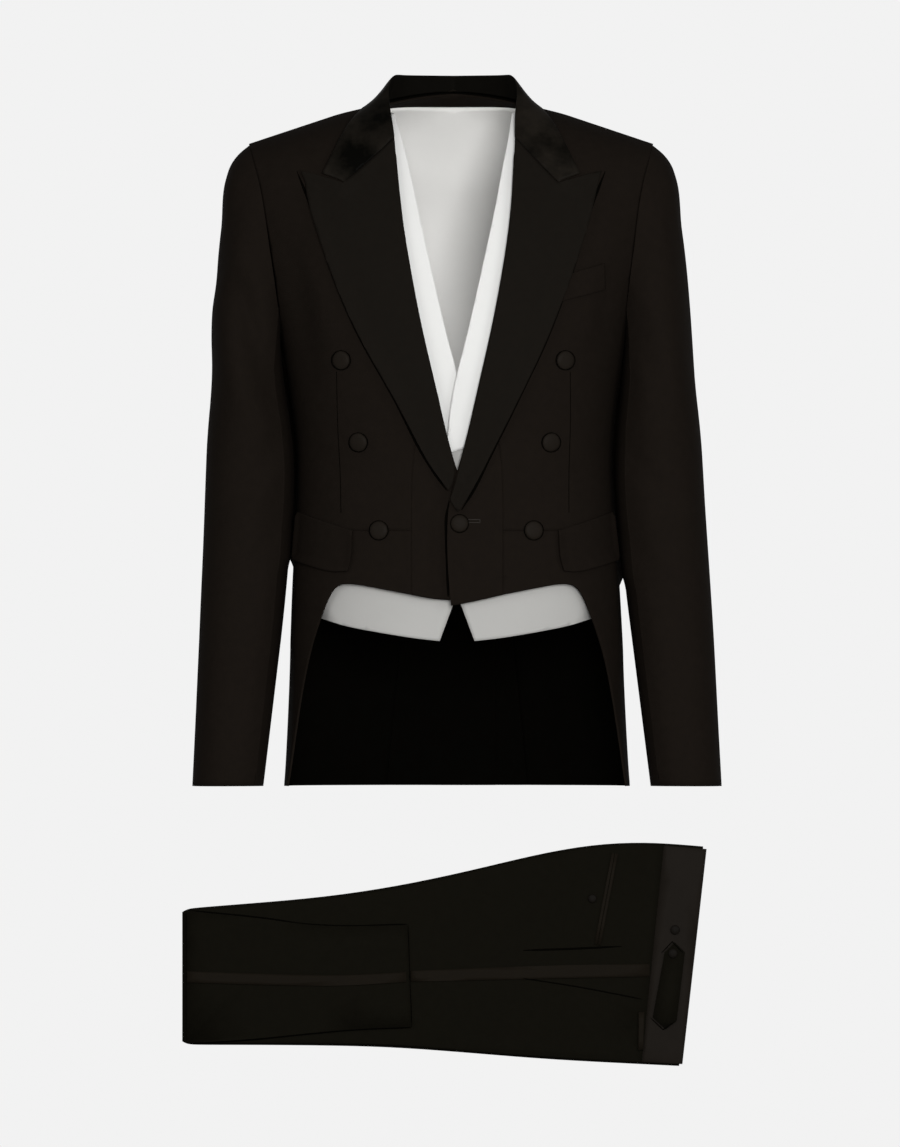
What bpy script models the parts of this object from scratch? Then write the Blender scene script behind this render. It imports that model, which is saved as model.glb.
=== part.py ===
# Evening dress suit: tailcoat on a general figure, waistcoat inside it, folded trousers below.
# Front faces -Y. The origin is the middle of the shoulders, where a wearer carries the coat.
# Tables are in millimetres: x runs outward from the middle of the front, z is the height.

import math

import bmesh
import bpy
from mathutils import Vector

MM = 0.001

# Driving dimensions
CLOTH = 2.0
SATIN = 2.0
WAISTCOAT_CLOTH = 1.6
SEAM_GAP = 0.3
OVER_GAP = 0.8
BAND_GAP = 1.5
SHOULDER_END = 212.7
SHOULDER_END_HEIGHT = -16.8
SHOULDER_SLOPE = 1 / 3
SHOULDER_ROUND = 45.0
BODY_EXPONENT = 2.4
UNDERARM = -222.0
WAIST = -421.0
HEM = -689.0
FRONT_OVERLAP_DEPTH = 2.8
FRONT_OVERLAP_FROM = 12.0
FRONT_OVERLAP_TO = 40.0
VENT_OVERLAP = 41.0
WAISTCOAT_HEM = -505.0
WAISTCOAT_BACK_HEM = -484.0
BUTTON_RADIUS = 9.6
CLOSING_BUTTON_RADIUS = 9.1
BUTTON_HEIGHT = 3.6
BUTTON_SEAT = 0.8
CLOSING_BUTTON_SEAT = 0.5

FRONT = 1
BACK = -1

# Coat body sections: height, half width, depth in front, depth behind
BODY = [
    (70, 237, 38, 72), (30, 234, 48, 77), (-9, 232, 62, 90), (-68, 222, 88, 107),
    (-113, 212, 104, 116), (-184, 192, 119, 121), (-222, 183, 123, 120), (-262, 175.5, 123, 114),
    (-300, 170, 118, 106), (-342, 166, 112, 100), (-421, 169.5, 113, 106), (-452, 172, 115, 111),
    (-500, 174.5, 118, 117), (-560, 177, 119, 121), (-625, 180, 120, 125), (-689, 183, 120, 128),
]

# Sleeve sections: height, inner x, outer x, front y, back y
SLEEVE = [
    (-262, 177.6, 254, -70, 66), (-300, 173, 256.5, -66, 62), (-342, 168.4, 259, -62, 58),
    (-400, 170.8, 261.5, -63, 52), (-446, 174, 264, -65, 47), (-500, 179.5, 267, -67, 42),
    (-560, 187, 270, -69, 38), (-625, 195, 273, -71, 34), (-689, 203, 276.3, -73, 31),
]

# Seams and edges on the body: x, z
ROLL_TOP = [(70, 30.8), (67, 24), (64.5, 8)]
ROLL_LINE = [(64.5, 8), (63.5, -9), (56.2, -95.6), (38.7, -199), (34.3, -222)]
ROLL_LOW = [(34.3, -222), (28.6, -248), (22.5, -273)]
STRAP_SEAM = [(22.5, -273), (39, -308), (47.3, -355)]
STRAP_SEAM_LOW = [(47.3, -355), (48, -388), (48, WAIST)]
STRAP_SEAM_HEM = [(48, WAIST), (48, -488)]
ARMHOLE_TOP = [(212.7, -16.8), (207.5, -36)]
ARMHOLE_FRONT = [(207.5, -36), (198.5, -68), (192.5, -113), (183.2, -184), (182.6, -211), (183, UNDERARM)]
ARMHOLE_BACK = [(212.7, -16.8), (207, -36), (197, -75), (190, -110)]
ARMHOLE_LOW = [(183, UNDERARM), (183, -210), (181.5, -195), (184, -160), (190, -110)]
BACK_SEAM = [(190, -110), (170, -150), (140, -200), (105, -260), (75, -320), (55, -375), (48, WAIST)]
NECK_BACK = [(0, 42), (35, 38.5), (58, 34), (70, 30.8)]
FACING_EDGE = [(0, 19), (38, 18), (66, 14), (80, 8)]
TAIL_SEAM = [(48, WAIST), (61, -550), (74.6, HEM)]

# Front edge of the strap that lies on top (wearer's left), and of the one under it
TOP_EDGE = [(20.2, -279), (12.6, -313.8), (0, -359)]
TOP_EDGE_MIDDLE = [(0, -359), (-4.5, -369), (-10.5, -404), (-10.5, WAIST)]
TOP_EDGE_LOW = [(-10.5, WAIST), (-9.8, -451), (-7.9, -486), (-6, -499.5)]
TOP_HEM = [(-6, -499.5), (20, -494.5), (48, -488)]
UNDER_EDGE_MIDDLE = [(0, -359), (-8, -374), (-14, -400), (-15, WAIST)]
UNDER_EDGE_LOW = [(-15, WAIST), (-15, -493)]
UNDER_HEM = [(-15, -493), (20, -493), (48, -488)]

# Cutaway and tail front edge, from the strap round the corner to the tail hem
CUTAWAY = [
    (48, -488), (81, -481.5), (112, -475.6), (124, -477.5), (131, -484), (138, -499), (144.5, -516.4),
    (155.6, -550), (166.6, -598), (174.5, -653), (178.5, HEM),
]

# Lapel: gorge seam, peak, outer edge
GORGE = [(63.5, -9), (79.5, -25.7), (95.4, -42.3), (111.4, -59)]
PEAK = (155.6, -46.6)
LAPEL_EDGE = [PEAK, (148, -77), (121.5, -158.5), (95.8, -221), (66.2, -278), (33.2, -343.5)]
LAPEL_FOOT_TOP = [(33.2, -343.5), (17, -377), (1.5, -401)]
LAPEL_FOOT_UNDER = [(33.2, -343.5), (18, -367), (8.3, -379)]
LAPEL_INNER = [(63.5, -9), (56.2, -95.6), (38.7, -199), (21.6, -274.5), (12.6, -313.8), (2.5, -353)]
LAPEL_INNER_FOOT_TOP = [(2.5, -353), (-1.5, -372), (-7, -388)]
LAPEL_INNER_FOOT_UNDER = [(2.5, -353), (3, -362), (5.5, -372)]

# Collar stations from the gorge to the middle of the back:
# neck x, neck z, side, rise, lean, edge x, edge z, sag at the notch
COLLAR = [
    (63.5, -8.4, 1.2, 0, 134.9, -49.3, 22), (64.5, 8, 3, 0, 122, -24, 7), (67, 24, 9, 0, 108.7, 1.3, 0),
    (68.6, 28.2, 17, -2, 98, 15, 0), (70, 30.8, 25.7, -8, 89, 24.4, 0), (58, 34, 22.8, -4, 80, 17, 0),
    (35, 38.5, 18.2, 0, 50, 12, 0), (0, 42, 14.7, 2.5, 0, 9, 0),
]
COLLAR_BACK_FROM = 4
NOTCH_SHARE = 0.671
COLLAR_SHARES = (0.0, 0.224, 0.447, NOTCH_SHARE, 1.0)

# Flap, welt and buttons
FLAP_TOP = [(107, -420.5), (135, -411.5), (163.5, -401)]
FLAP_FRONT = [(107, -420.5), (108.3, -455), (112, -463)]
FLAP_BOTTOM = [(112, -463), (119, -466), (145, -459.5), (168.5, -451.5)]
FLAP_BACK = [(163.5, -401), (166, -426), (168.5, -451.5)]
WELT_TOP = [(125.6, -150.5), (159.2, -140)]
WELT_BOTTOM = [(114.2, -180.3), (160.3, -167.7)]
SHOW_BUTTONS = [(117, -242), (100.7, -328), (81, -420.5)]
CLOSING_BUTTON = (2.6, -413.3)

# Waistcoat: edges of the front, lapel band and back
WAISTCOAT_V = [(72, 30), (64, 19), (50, -33), (37.8, -94.5), (9.5, -220.5), (4.5, -240)]
WAISTCOAT_EDGE_TOP = [(4.5, -240), (0, -258), (-8, -300), (-12, -345), (-12, -455)]
WAISTCOAT_EDGE_UNDER = [(4.5, -240), (0, -258), (-4, -300), (-8, -345), (-8, -464)]
WAISTCOAT_POINT_TOP = [(-12, -455), (4.5, -499), (18.5, -536.5)]
WAISTCOAT_POINT_UNDER = [(-8, -464), (4.5, -499), (18.5, -536.5)]
WAISTCOAT_LOWER = [(18.5, -536.5), (33, -535.5), (90, -526.5), (144.5, -516.4), (173.5, WAISTCOAT_HEM)]
WAISTCOAT_SHOULDER = [(72, 30), (150, 4)]
WAISTCOAT_BACK_SHOULDER = [(68, 28.5), (110, 13), (150, 4)]
WAISTCOAT_NECK = [(0, 28.4), (35, 29), (55, 29.8), (68, 28.5)]
WAISTCOAT_ARMHOLE = [(150, 4), (138, -60), (140, -130), (163, -205), (178, -228), (179.6, -240)]
BAND_INNER = [(63, 22), (60, 8), (50, -33), (37.8, -94.5), (9.5, -220.5), (-1.5, -262)]
BAND_INNER_TOP = BAND_INNER + [(-8, -300), (-11, -341.5)]
BAND_INNER_UNDER = BAND_INNER + [(-5, -300), (-7, -330)]
BAND_OUTER = [(82, 20), (82, 2), (78, -33), (70, -94.5), (46, -220), (34, -275)]
BAND_OUTER_TOP = BAND_OUTER + [(16, -332)]
BAND_OUTER_UNDER = BAND_OUTER + [(18, -322)]

# Trousers, folded on the picture's plane: stations x, top z, bottom z
TROUSERS = [
    (-289, -822, -958), (-283, -818.5, -961.2), (-216, -812.7, -961.8), (-140, -806.4, -962.3),
    (-75, -797, -963.6), (-37, -790, -965.7), (16, -778, -970.5), (70, -764.4, -975), (108, -756, -977.6),
    (150, -749.3, -980), (184, -747.4, -981.6), (228, -750, -983.4),
]
TROUSERS_BACK = 12.0
TROUSERS_FRONT = -5.0
TROUSERS_WAIST = [(261.9, -753.5), (236.3, -984)]
LEG_CLOTH = 1.8
LAYER_GAP = 0.5
TURNED_CLOTH = 2.6
STRIPE_CLOTH = 0.9
JET_CLOTH = 1.1
TAB_CLOTH = 1.4
FACING_CLOTH = 1.2
EDGE_BAND = 4.0
STRIPE_TOP = [(-49, -883.6), (108, -877.8), (200, -876.4)]
STRIPE_BOTTOM = [(-49, -895), (108, -891.5), (200, -889.6)]
TURNED_TOP = [(-284, -820.5), (-197.4, -829.5), (-159.6, -835), (-120.8, -836.9), (-52, -835.2)]
TURNED_BOTTOM = [(-284, -959.5), (-216.3, -955.5), (-159.6, -949.7), (-101.9, -944.7), (-48, -942.8)]
TURNED_STRIPE_TOP = [(-284, -884), (-197, -887), (-120.8, -888.3), (-53.4, -884.8)]
TURNED_STRIPE_BOTTOM = [(-284, -896), (-197, -898.5), (-120.8, -899.3), (-53.4, -895.3)]
ADJUSTER = [(226.4, -853.7), (216, -864.2), (203.5, -932.4), (216.8, -944.7), (228.3, -936.4), (237, -864.2)]
FRONT_STRIP = [(188.5, -927), (194.5, -927), (193.5, -966.8), (188, -966.8)]
POCKET_START = (164, -760)
POCKET_END = (146.2, -856.2)
POCKET_JET_WIDTH = 3.0
POCKET_BUTTON = (142.4, -807.5)
ADJUSTER_BUTTON = (227.1, -865.2)
SECOND_BUTTON = (229.4, -840.5)
SMALL_BUTTON_RADIUS = 5.0
POCKET_BUTTON_RADIUS = 4.7
SMALL_BUTTON_HEIGHT = 2.4


def smooth_step(value):
    value = min(1.0, max(0.0, value))
    return value * value * (3 - 2 * value)


def read_table(table, at):
    # Smooth reading between the rows of a table whose first column falls or rises
    rows = table if table[0][0] < table[-1][0] else table[::-1]
    at = min(rows[-1][0], max(rows[0][0], at))
    index = 0
    while index < len(rows) - 2 and at > rows[index + 1][0]:
        index += 1
    low, high = rows[index], rows[index + 1]
    before, after = rows[max(index - 1, 0)], rows[min(index + 2, len(rows) - 1)]
    span = high[0] - low[0]
    t = (at - low[0]) / span
    values = []
    for column in range(1, len(low)):
        start_slope = (high[column] - before[column]) / (high[0] - before[0]) * span
        end_slope = (after[column] - low[column]) / (after[0] - low[0]) * span
        values.append(
            (2 * t**3 - 3 * t**2 + 1) * low[column] + (t**3 - 2 * t**2 + t) * start_slope
            + (3 * t**2 - 2 * t**3) * high[column] + (t**3 - t**2) * end_slope
        )
    return values


def along(points, count):
    # Evenly spaced points on a smooth line through the given ones
    lengths = [0.0]
    for first, second in zip(points, points[1:]):
        lengths.append(lengths[-1] + math.dist(first, second))
    table = [(length, *point) for length, point in zip(lengths, points)]
    return [tuple(read_table(table, lengths[-1] * index / count)) for index in range(count + 1)]


# Body surface

FINE = 48


def shoulder_line(x):
    return SHOULDER_END_HEIGHT + (SHOULDER_END - abs(x)) * SHOULDER_SLOPE


def to_angle(point, face=FRONT):
    # From a point of the front view to its angle round the body: 0 at the side, 90 in front
    x, z = point
    half_width = read_table(BODY, z)[0]
    cosine = min(1.0, abs(x) / half_width) ** (BODY_EXPONENT / 2)
    angle = math.acos(cosine)
    if x < 0:
        angle = math.pi - angle
    return face * angle, z


def on_body(angle, z, side):
    half_width, front_depth, back_depth = read_table(BODY, z)
    power = 2 / BODY_EXPONENT
    x = math.copysign(half_width * abs(math.cos(angle)) ** power, math.cos(angle))
    depth = front_depth if angle > 0 else back_depth
    y = -math.copysign(depth * abs(math.sin(angle)) ** power, angle)
    z = min(z, shoulder_line(x))
    below = min(SHOULDER_ROUND, shoulder_line(x) - z)
    y *= math.sqrt(max(0.0, 1 - ((SHOULDER_ROUND - below) / SHOULDER_ROUND) ** 2))
    return Vector((side * x, y, z))


def by_length(points, count):
    # The same line with evenly spaced points
    lengths = [0.0]
    for first, second in zip(points, points[1:]):
        lengths.append(lengths[-1] + (second - first).length)
    result = []
    index = 0
    for step in range(count + 1):
        wanted = lengths[-1] * step / count
        while index < len(points) - 2 and lengths[index + 1] < wanted:
            index += 1
        span = lengths[index + 1] - lengths[index]
        share = (wanted - lengths[index]) / span if span > 0 else 0.0
        result.append(points[index].lerp(points[index + 1], min(1.0, share)))
    return result


def body_patch(side, top, bottom, left, right, rows):
    # A piece between four lines, given as (angle, z), laid on the body
    fine = len(left) - 1
    columns = len(top) - 1
    lines = []
    for i in range(columns + 1):
        u = i / columns
        line = []
        for j in range(fine + 1):
            v = j / fine
            point = []
            for axis in range(2):
                edge = (1 - v) * top[i][axis] + v * bottom[i][axis]
                edge += (1 - u) * left[j][axis] + u * right[j][axis]
                edge -= (1 - u) * (1 - v) * top[0][axis] + u * (1 - v) * top[-1][axis]
                edge -= (1 - u) * v * bottom[0][axis] + u * v * bottom[-1][axis]
                point.append(edge)
            line.append(on_body(point[0], point[1], side))
        lines.append(by_length(line, rows))
    return [[lines[i][j] for i in range(columns + 1)] for j in range(rows + 1)]


def lines_on(points, count, face=FRONT):
    # Points evenly spaced over the body along a line of the front view, as (angle, z)
    fine = [to_angle(point, face) for point in along(points, FINE)]
    if count >= FINE:
        return fine
    spots = [on_body(angle, z, 1) for angle, z in fine]
    lengths = [0.0]
    for first, second in zip(spots, spots[1:]):
        lengths.append(lengths[-1] + (second - first).length)
    table = [(length + 1e-6 * index, *point) for index, (length, point) in enumerate(zip(lengths, fine))]
    return [tuple(read_table(table, table[-1][0] * index / count)) for index in range(count + 1)]


def straight(start, end, count):
    return [tuple(a + (b - a) * index / count for a, b in zip(start, end)) for index in range(count + 1)]


def stacked(patches):
    # Patches that follow one another down the body, sharing a row
    rows = patches[0]
    for patch in patches[1:]:
        rows = rows + patch[1:]
    return rows


def patch_between(side, face, top, bottom, left, right, rows, columns):
    # top, bottom: lists of (angle, z) already spaced, or two end points
    if len(top) != columns + 1:
        top = straight(top[0], top[-1], columns)
    if len(bottom) != columns + 1:
        bottom = straight(bottom[0], bottom[-1], columns)
    return body_patch(side, top, bottom, lines_on(left, FINE, face), lines_on(right, FINE, face), rows)


# Walls

def grid_normals(rows, closed=False):
    # Second-order differences, so that neighbours agree along a shared seam
    def slope(line, index, ring):
        last = len(line) - 1
        if ring:
            return line[(index + 1) % len(line)] - line[index - 1]
        if index == 0:
            if last == 1:
                return line[1] - line[0]
            return 4 * line[1] - 3 * line[0] - line[2]
        if index == last:
            if last == 1:
                return line[1] - line[0]
            return 3 * line[last] - 4 * line[last - 1] + line[last - 2]
        return line[index + 1] - line[index - 1]

    normals = []
    for j, row in enumerate(rows):
        normals.append([])
        for i in range(len(row)):
            across = slope(row, i, closed)
            down = slope([line[i] for line in rows], j, False)
            normals[-1].append(across.cross(down).normalized())
    return normals


def facing_out(rows, normals, inside=None):
    total = 0.0
    for row, line in zip(rows, normals):
        centre = inside or sum(row, Vector()) / len(row)
        total += sum((point - centre).dot(normal) for point, normal in zip(row, line))
    if total < 0:
        return [[-normal for normal in line] for line in normals]
    return normals


def inset(rows, distance=SEAM_GAP / 2, ends=True):
    # Each edge stops half a seam gap short, so that neighbours stand a full gap apart
    moved = [list(row) for row in rows]
    for row, old in zip(moved, rows):
        row[0] = old[0] + (old[1] - old[0]).normalized() * distance
        row[-1] = old[-1] + (old[-2] - old[-1]).normalized() * distance
    if ends:
        for i in range(len(rows[0])):
            moved[0][i] = moved[0][i] + (rows[1][i] - rows[0][i]).normalized() * distance
            moved[-1][i] = moved[-1][i] + (rows[-2][i] - rows[-1][i]).normalized() * distance
    return moved


def make_object(name, vertices, faces, material):
    mesh = bpy.data.meshes.new(name)
    mesh.from_pydata([tuple(vertex * MM) for vertex in vertices], [], faces)
    work = bmesh.new()
    work.from_mesh(mesh)
    bmesh.ops.recalc_face_normals(work, faces=work.faces)
    if work.calc_volume(signed=True) < 0:
        bmesh.ops.reverse_faces(work, faces=work.faces)
    work.to_mesh(mesh)
    work.free()
    mesh.shade_smooth()
    mesh.set_sharp_from_angle(angle=math.radians(50))
    mesh.materials.append(material)
    part = bpy.data.objects.new(name, mesh)
    SUIT.objects.link(part)
    return part


def wall(name, rows, normals, lift, thickness, material, closed=False):
    # A cloth wall: lift is its outer face's height over the rows, a number or a function of the point
    columns = len(rows[0])
    outer = []
    inner = []
    for row, line in zip(rows, normals):
        for point, normal in zip(row, line):
            height = lift(point) if callable(lift) else lift
            outer.append(point + normal * height)
            inner.append(point + normal * (height - thickness))
    count = len(outer)
    faces = []
    spans = columns if closed else columns - 1
    for j in range(len(rows) - 1):
        for i in range(spans):
            a = j * columns + i
            b = j * columns + (i + 1) % columns
            c = b + columns
            d = a + columns
            # Both faces of the wall are split along the same, shorter diagonal
            if (outer[a] - outer[c]).length <= (outer[b] - outer[d]).length:
                halves = ((a, b, c), (a, c, d))
            else:
                halves = ((a, b, d), (b, c, d))
            for half in halves:
                faces.append(half)
                faces.append(tuple(index + count for index in half[::-1]))
    last_row = (len(rows) - 1) * columns
    for i in range(spans):
        right = (i + 1) % columns
        faces.append((i, i + count, right + count, right))
        faces.append((last_row + i, last_row + right, last_row + right + count, last_row + i + count))
    if not closed:
        for j in range(len(rows) - 1):
            for a in (j * columns, j * columns + columns - 1):
                faces.append((a, a + columns, a + columns + count, a + count))
    return make_object(name, outer + inner, faces, material)


BODY_MIDDLE = Vector((0, 0, -300))


def body_normals(rows):
    # The body is symmetric, and its front meets its back squarely along the sides and shoulders
    normals = facing_out(rows, grid_normals(rows), BODY_MIDDLE)
    for row, line in zip(rows, normals):
        for point, normal in zip(row, line):
            if abs(point.x) < 0.2:
                normal.x = 0
            if abs(point.y) < 0.2:
                normal.y = 0
            normal.normalize()
    return normals


def body_wall(name, rows, lift, thickness, material):
    return wall(name, inset(rows), body_normals(rows), lift, thickness, material)


def side_name(side):
    return "left" if side > 0 else "right"


# How deep the under front lies where the other one covers it

def under_front(side):
    def lift(point):
        share = (point.x * side - FRONT_OVERLAP_FROM) / (FRONT_OVERLAP_TO - FRONT_OVERLAP_FROM)
        return -FRONT_OVERLAP_DEPTH * (1 - smooth_step(share))
    return lift if side < 0 else (lambda point: 0.0)


# Coat

def coat_front(side, wool):
    columns = 8
    yoke = lines_on([ROLL_TOP[-1], ARMHOLE_TOP[-1]], columns)
    shoulder = patch_between(
        side, FRONT, lines_on([(70, 30.8), (212.7, -16.8)], columns), yoke, ROLL_TOP, ARMHOLE_TOP, 2, columns
    )
    chest = patch_between(
        side, FRONT, yoke, (to_angle(ROLL_LINE[-1]), (0.0, UNDERARM)), ROLL_LINE, ARMHOLE_FRONT, 7, columns
    )
    upper = stacked([shoulder, chest])
    middle = patch_between(
        side, FRONT, (to_angle(ROLL_LINE[-1]), (0.0, UNDERARM)), (to_angle(ROLL_LOW[-1]), (0.0, -273)),
        ROLL_LOW, [(183.1, UNDERARM), (176, -250), (173.6, -273)], 2, columns,
    )
    lower = side_stretch(side, STRAP_SEAM, -273, -355, 3, columns)
    lowest = side_stretch(side, STRAP_SEAM_LOW, -355, WAIST, 2, columns)
    rows = stacked([upper, middle, lower, lowest])
    body_wall(f"coat_front_{side_name(side)}", rows, under_front(side), CLOTH, wool)
    return [row[-1] for row in upper]


def side_stretch(side, seam, top, bottom, rows, columns):
    start, end = to_angle(seam[0]), to_angle(seam[-1])
    left = lines_on(seam, FINE)
    right = straight((0.0, top), (0.0, bottom), FINE)
    return body_patch(
        side, straight(start, (0.0, top), columns), straight(end, (0.0, bottom), columns), left, right, rows
    )


def coat_strap(side, wool):
    on_top = side > 0
    middle_edge = TOP_EDGE_MIDDLE if on_top else UNDER_EDGE_MIDDLE
    low_edge = TOP_EDGE_LOW if on_top else UNDER_EDGE_LOW
    hem = TOP_HEM if on_top else UNDER_HEM
    columns = 4
    ends = [
        (TOP_EDGE, STRAP_SEAM, 3), (middle_edge, STRAP_SEAM_LOW, 2), (low_edge, STRAP_SEAM_HEM, 3),
    ]
    patches = []
    for edge, seam, rows in ends:
        top = (to_angle(edge[0]), to_angle(seam[0]))
        bottom = (to_angle(edge[-1]), to_angle(seam[-1]))
        if seam is STRAP_SEAM_HEM:
            bottom = lines_on(hem, columns)
        patches.append(patch_between(side, FRONT, top, bottom, edge, seam, rows, columns))
    lift = under_front(side)
    body_wall(f"coat_front_strap_{side_name(side)}", stacked(patches), lift, CLOTH, wool)


def coat_side(side, wool):
    columns = 6
    top = lines_on(ARMHOLE_LOW[1:], columns, BACK)
    top[0] = (0.0, UNDERARM)
    armhole = [(0.0, UNDERARM)] + lines_on(ARMHOLE_LOW[1:], 12, BACK)
    armhole = [on_body(angle, z, side) for angle, z in armhole]
    seam = lines_on(BACK_SEAM, FINE, BACK)
    bottom = straight((0.0, WAIST), to_angle(BACK_SEAM[-1], BACK), columns)
    left = straight((0.0, UNDERARM), (0.0, WAIST), FINE)
    rows = body_patch(side, top, bottom, left, seam, 7)
    rows[0] = by_length(armhole, columns)
    body_wall(f"coat_side_{side_name(side)}", rows, 0.0, CLOTH, wool)
    return rows[0]


def coat_back(side, wool):
    top = lines_on(NECK_BACK, 3, BACK)[:-1] + lines_on([(70, 30.8), (212.7, -16.8)], 5, BACK)
    yoke = lines_on(FACING_EDGE, 3, BACK)[:-1] + lines_on([FACING_EDGE[-1], ARMHOLE_BACK[1]], 5, BACK)
    columns = len(top) - 1
    middle_back = to_angle((0, -110), BACK)
    waist_back = to_angle((0, WAIST), BACK)
    shoulder = patch_between(
        side, BACK, top, yoke, [NECK_BACK[0], FACING_EDGE[0]], ARMHOLE_BACK[:2], 2, columns,
    )
    below = patch_between(
        side, BACK, yoke, (middle_back, to_angle(ARMHOLE_BACK[-1], BACK)),
        [FACING_EDGE[0], (0, -110)], ARMHOLE_BACK[1:], 5, columns,
    )
    upper = stacked([shoulder, below])
    lower = patch_between(
        side, BACK, (middle_back, to_angle(BACK_SEAM[0], BACK)), (waist_back, to_angle(BACK_SEAM[-1], BACK)),
        [(0, -110), (0, WAIST)], BACK_SEAM, 7, columns,
    )
    patches = [upper, lower]
    extension = 0.0 if side > 0 else -VENT_OVERLAP
    levels = [(WAIST, 0.0, 1), (WAIST - 20, 0.0, 1), (WAIST - 40, extension, 1), (HEM, extension, 6)]
    seam_x = [read_table([(z, x) for x, z in TAIL_SEAM], level[0])[0] for level in levels]
    for index in range(1, len(levels)):
        high, low = levels[index - 1], levels[index]
        edge = [(high[1], high[0]), (low[1], low[0])]
        seam = [(seam_x[index - 1], high[0]), (seam_x[index], low[0])]
        patches.append(patch_between(
            side, BACK, (to_angle(edge[0], BACK), to_angle(seam[0], BACK)),
            (to_angle(edge[1], BACK), to_angle(seam[1], BACK)), edge, seam, low[2], columns,
        ))

    def vent_depth(point):
        sunk = smooth_step((WAIST - point.z) / 20) * (1 - smooth_step((point.x * side - 10) / 25))
        return -FRONT_OVERLAP_DEPTH * sunk

    lift = vent_depth if side < 0 else 0.0
    rows = stacked(patches)
    normals = body_normals(rows)
    wall(f"coat_back_{side_name(side)}", inset(rows), normals, lift, CLOTH, wool)
    facing = [row[:4] for row in rows[:3]], [line[:4] for line in normals[:3]]
    return [row[-1] for row in upper], facing


def coat_skirt(side, wool):
    front_bottom = [to_angle(point) for point in CUTAWAY]
    behind = 7
    last_front = front_bottom[-1][0]
    seam_top = to_angle(TAIL_SEAM[0], BACK)[0]
    seam_bottom = to_angle(TAIL_SEAM[-1], BACK)[0]
    top = [(angle, WAIST) for angle, _ in front_bottom]
    bottom = list(front_bottom)
    for step in range(1, behind + 1):
        share = step / behind
        top.append((last_front + (seam_top - last_front) * share, WAIST))
        bottom.append((last_front + (seam_bottom - last_front) * share, HEM))
    top[0] = to_angle((48, WAIST))
    left = lines_on(STRAP_SEAM_HEM, FINE)
    right = lines_on(TAIL_SEAM, FINE, BACK)
    rows = body_patch(side, top, bottom, left, right, 7)
    body_wall(f"coat_skirt_{side_name(side)}", rows, 0.0, CLOTH, wool)


# Sleeve head: rows, how fast they spread, gap to the armhole, height of the shoulder's own direction
CAP_ROWS = 6
CAP_SPREAD = 1.2
CAP_GAP = 0.5
CAP_TOP = -30
SLEEVE_EXPONENT = 2.2


def sleeve_ring(side, z, share_points):
    inner, outer, front, back = read_table(SLEEVE, z)
    centre = Vector(((inner + outer) / 2, (front + back) / 2, z))
    ring = []
    for angle in share_points:
        power = 2 / SLEEVE_EXPONENT
        reach = math.copysign(abs(math.cos(angle)) ** power, math.cos(angle)) * (outer - inner) / 2
        forward = math.copysign(abs(math.sin(angle)) ** power, math.sin(angle)) * (back - front) / 2
        ring.append(Vector((side * (centre.x + reach), centre.y - forward, z)))
    return ring


def sleeve(side, front_edge, low_edge, back_edge, wool):
    # The armhole's own points, from the shoulder down the front and up the back
    down = front_edge + low_edge[1:]
    front_count = len(front_edge) - 1
    loop = down + back_edge[::-1][1:-1]
    columns = len(loop)
    angles = []
    front_lengths = [0.0]
    for first, second in zip(front_edge, front_edge[1:]):
        front_lengths.append(front_lengths[-1] + (second - first).length)
    rear = low_edge + back_edge[::-1][1:]
    rear_lengths = [0.0]
    for first, second in zip(rear, rear[1:]):
        rear_lengths.append(rear_lengths[-1] + (second - first).length)
    for length in front_lengths:
        angles.append(math.pi * length / front_lengths[-1])
    for length in rear_lengths[1:-1]:
        angles.append(math.pi * (1 + length / rear_lengths[-1]))
    start = []
    for point in loop:
        outward = Vector((point.x / 190**2, point.y / 110**2, 0)).normalized()
        if point.z > CAP_TOP:
            outward = Vector((0, 0, 1))
        start.append(point + outward * CAP_GAP)
    first_ring = sleeve_ring(side, SLEEVE[0][0], angles)
    rows = []
    for step in range(CAP_ROWS):
        t = (step / CAP_ROWS) ** CAP_SPREAD
        row = []
        for k in range(columns):
            a, b = start[k], first_ring[k]
            span = (b - a).length
            low = smooth_step((1 - math.cos(angles[k])) / 2 * 1.35 - 0.3)
            leave = Vector((side, 0, -0.2)).normalized() * (0.4 * span) * (1 - low) + (b - a) * low
            arrive = Vector((side * 0.03, 0, -1)).normalized() * span * (1 - low) + (b - a) * low
            row.append(
                a * (2 * t**3 - 3 * t**2 + 1) + leave * (t**3 - 2 * t**2 + t)
                + b * (3 * t**2 - 2 * t**3) + arrive * (t**3 - t**2)
            )
        rows.append(row)
    heights = [-262, -300, -342, -394, -446, -505, -565, -627, HEM]
    rows += [sleeve_ring(side, z, angles) for z in heights]
    normals = facing_out(rows, grid_normals(rows, closed=True))
    front_seam = front_count - 2
    back_seam = front_count + len(low_edge) + 1
    under = list(range(front_seam, back_seam + 1))
    top = list(range(back_seam, columns)) + list(range(0, front_seam + 1))
    for label, picked in (("topsleeve", top), ("undersleeve", under)):
        part_rows = inset([[row[k] for k in picked] for row in rows])
        part_normals = [[line[k] for k in picked] for line in normals]
        wall(f"coat_{label}_{side_name(side)}", part_rows, part_normals, 0.0, CLOTH, wool)


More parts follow.
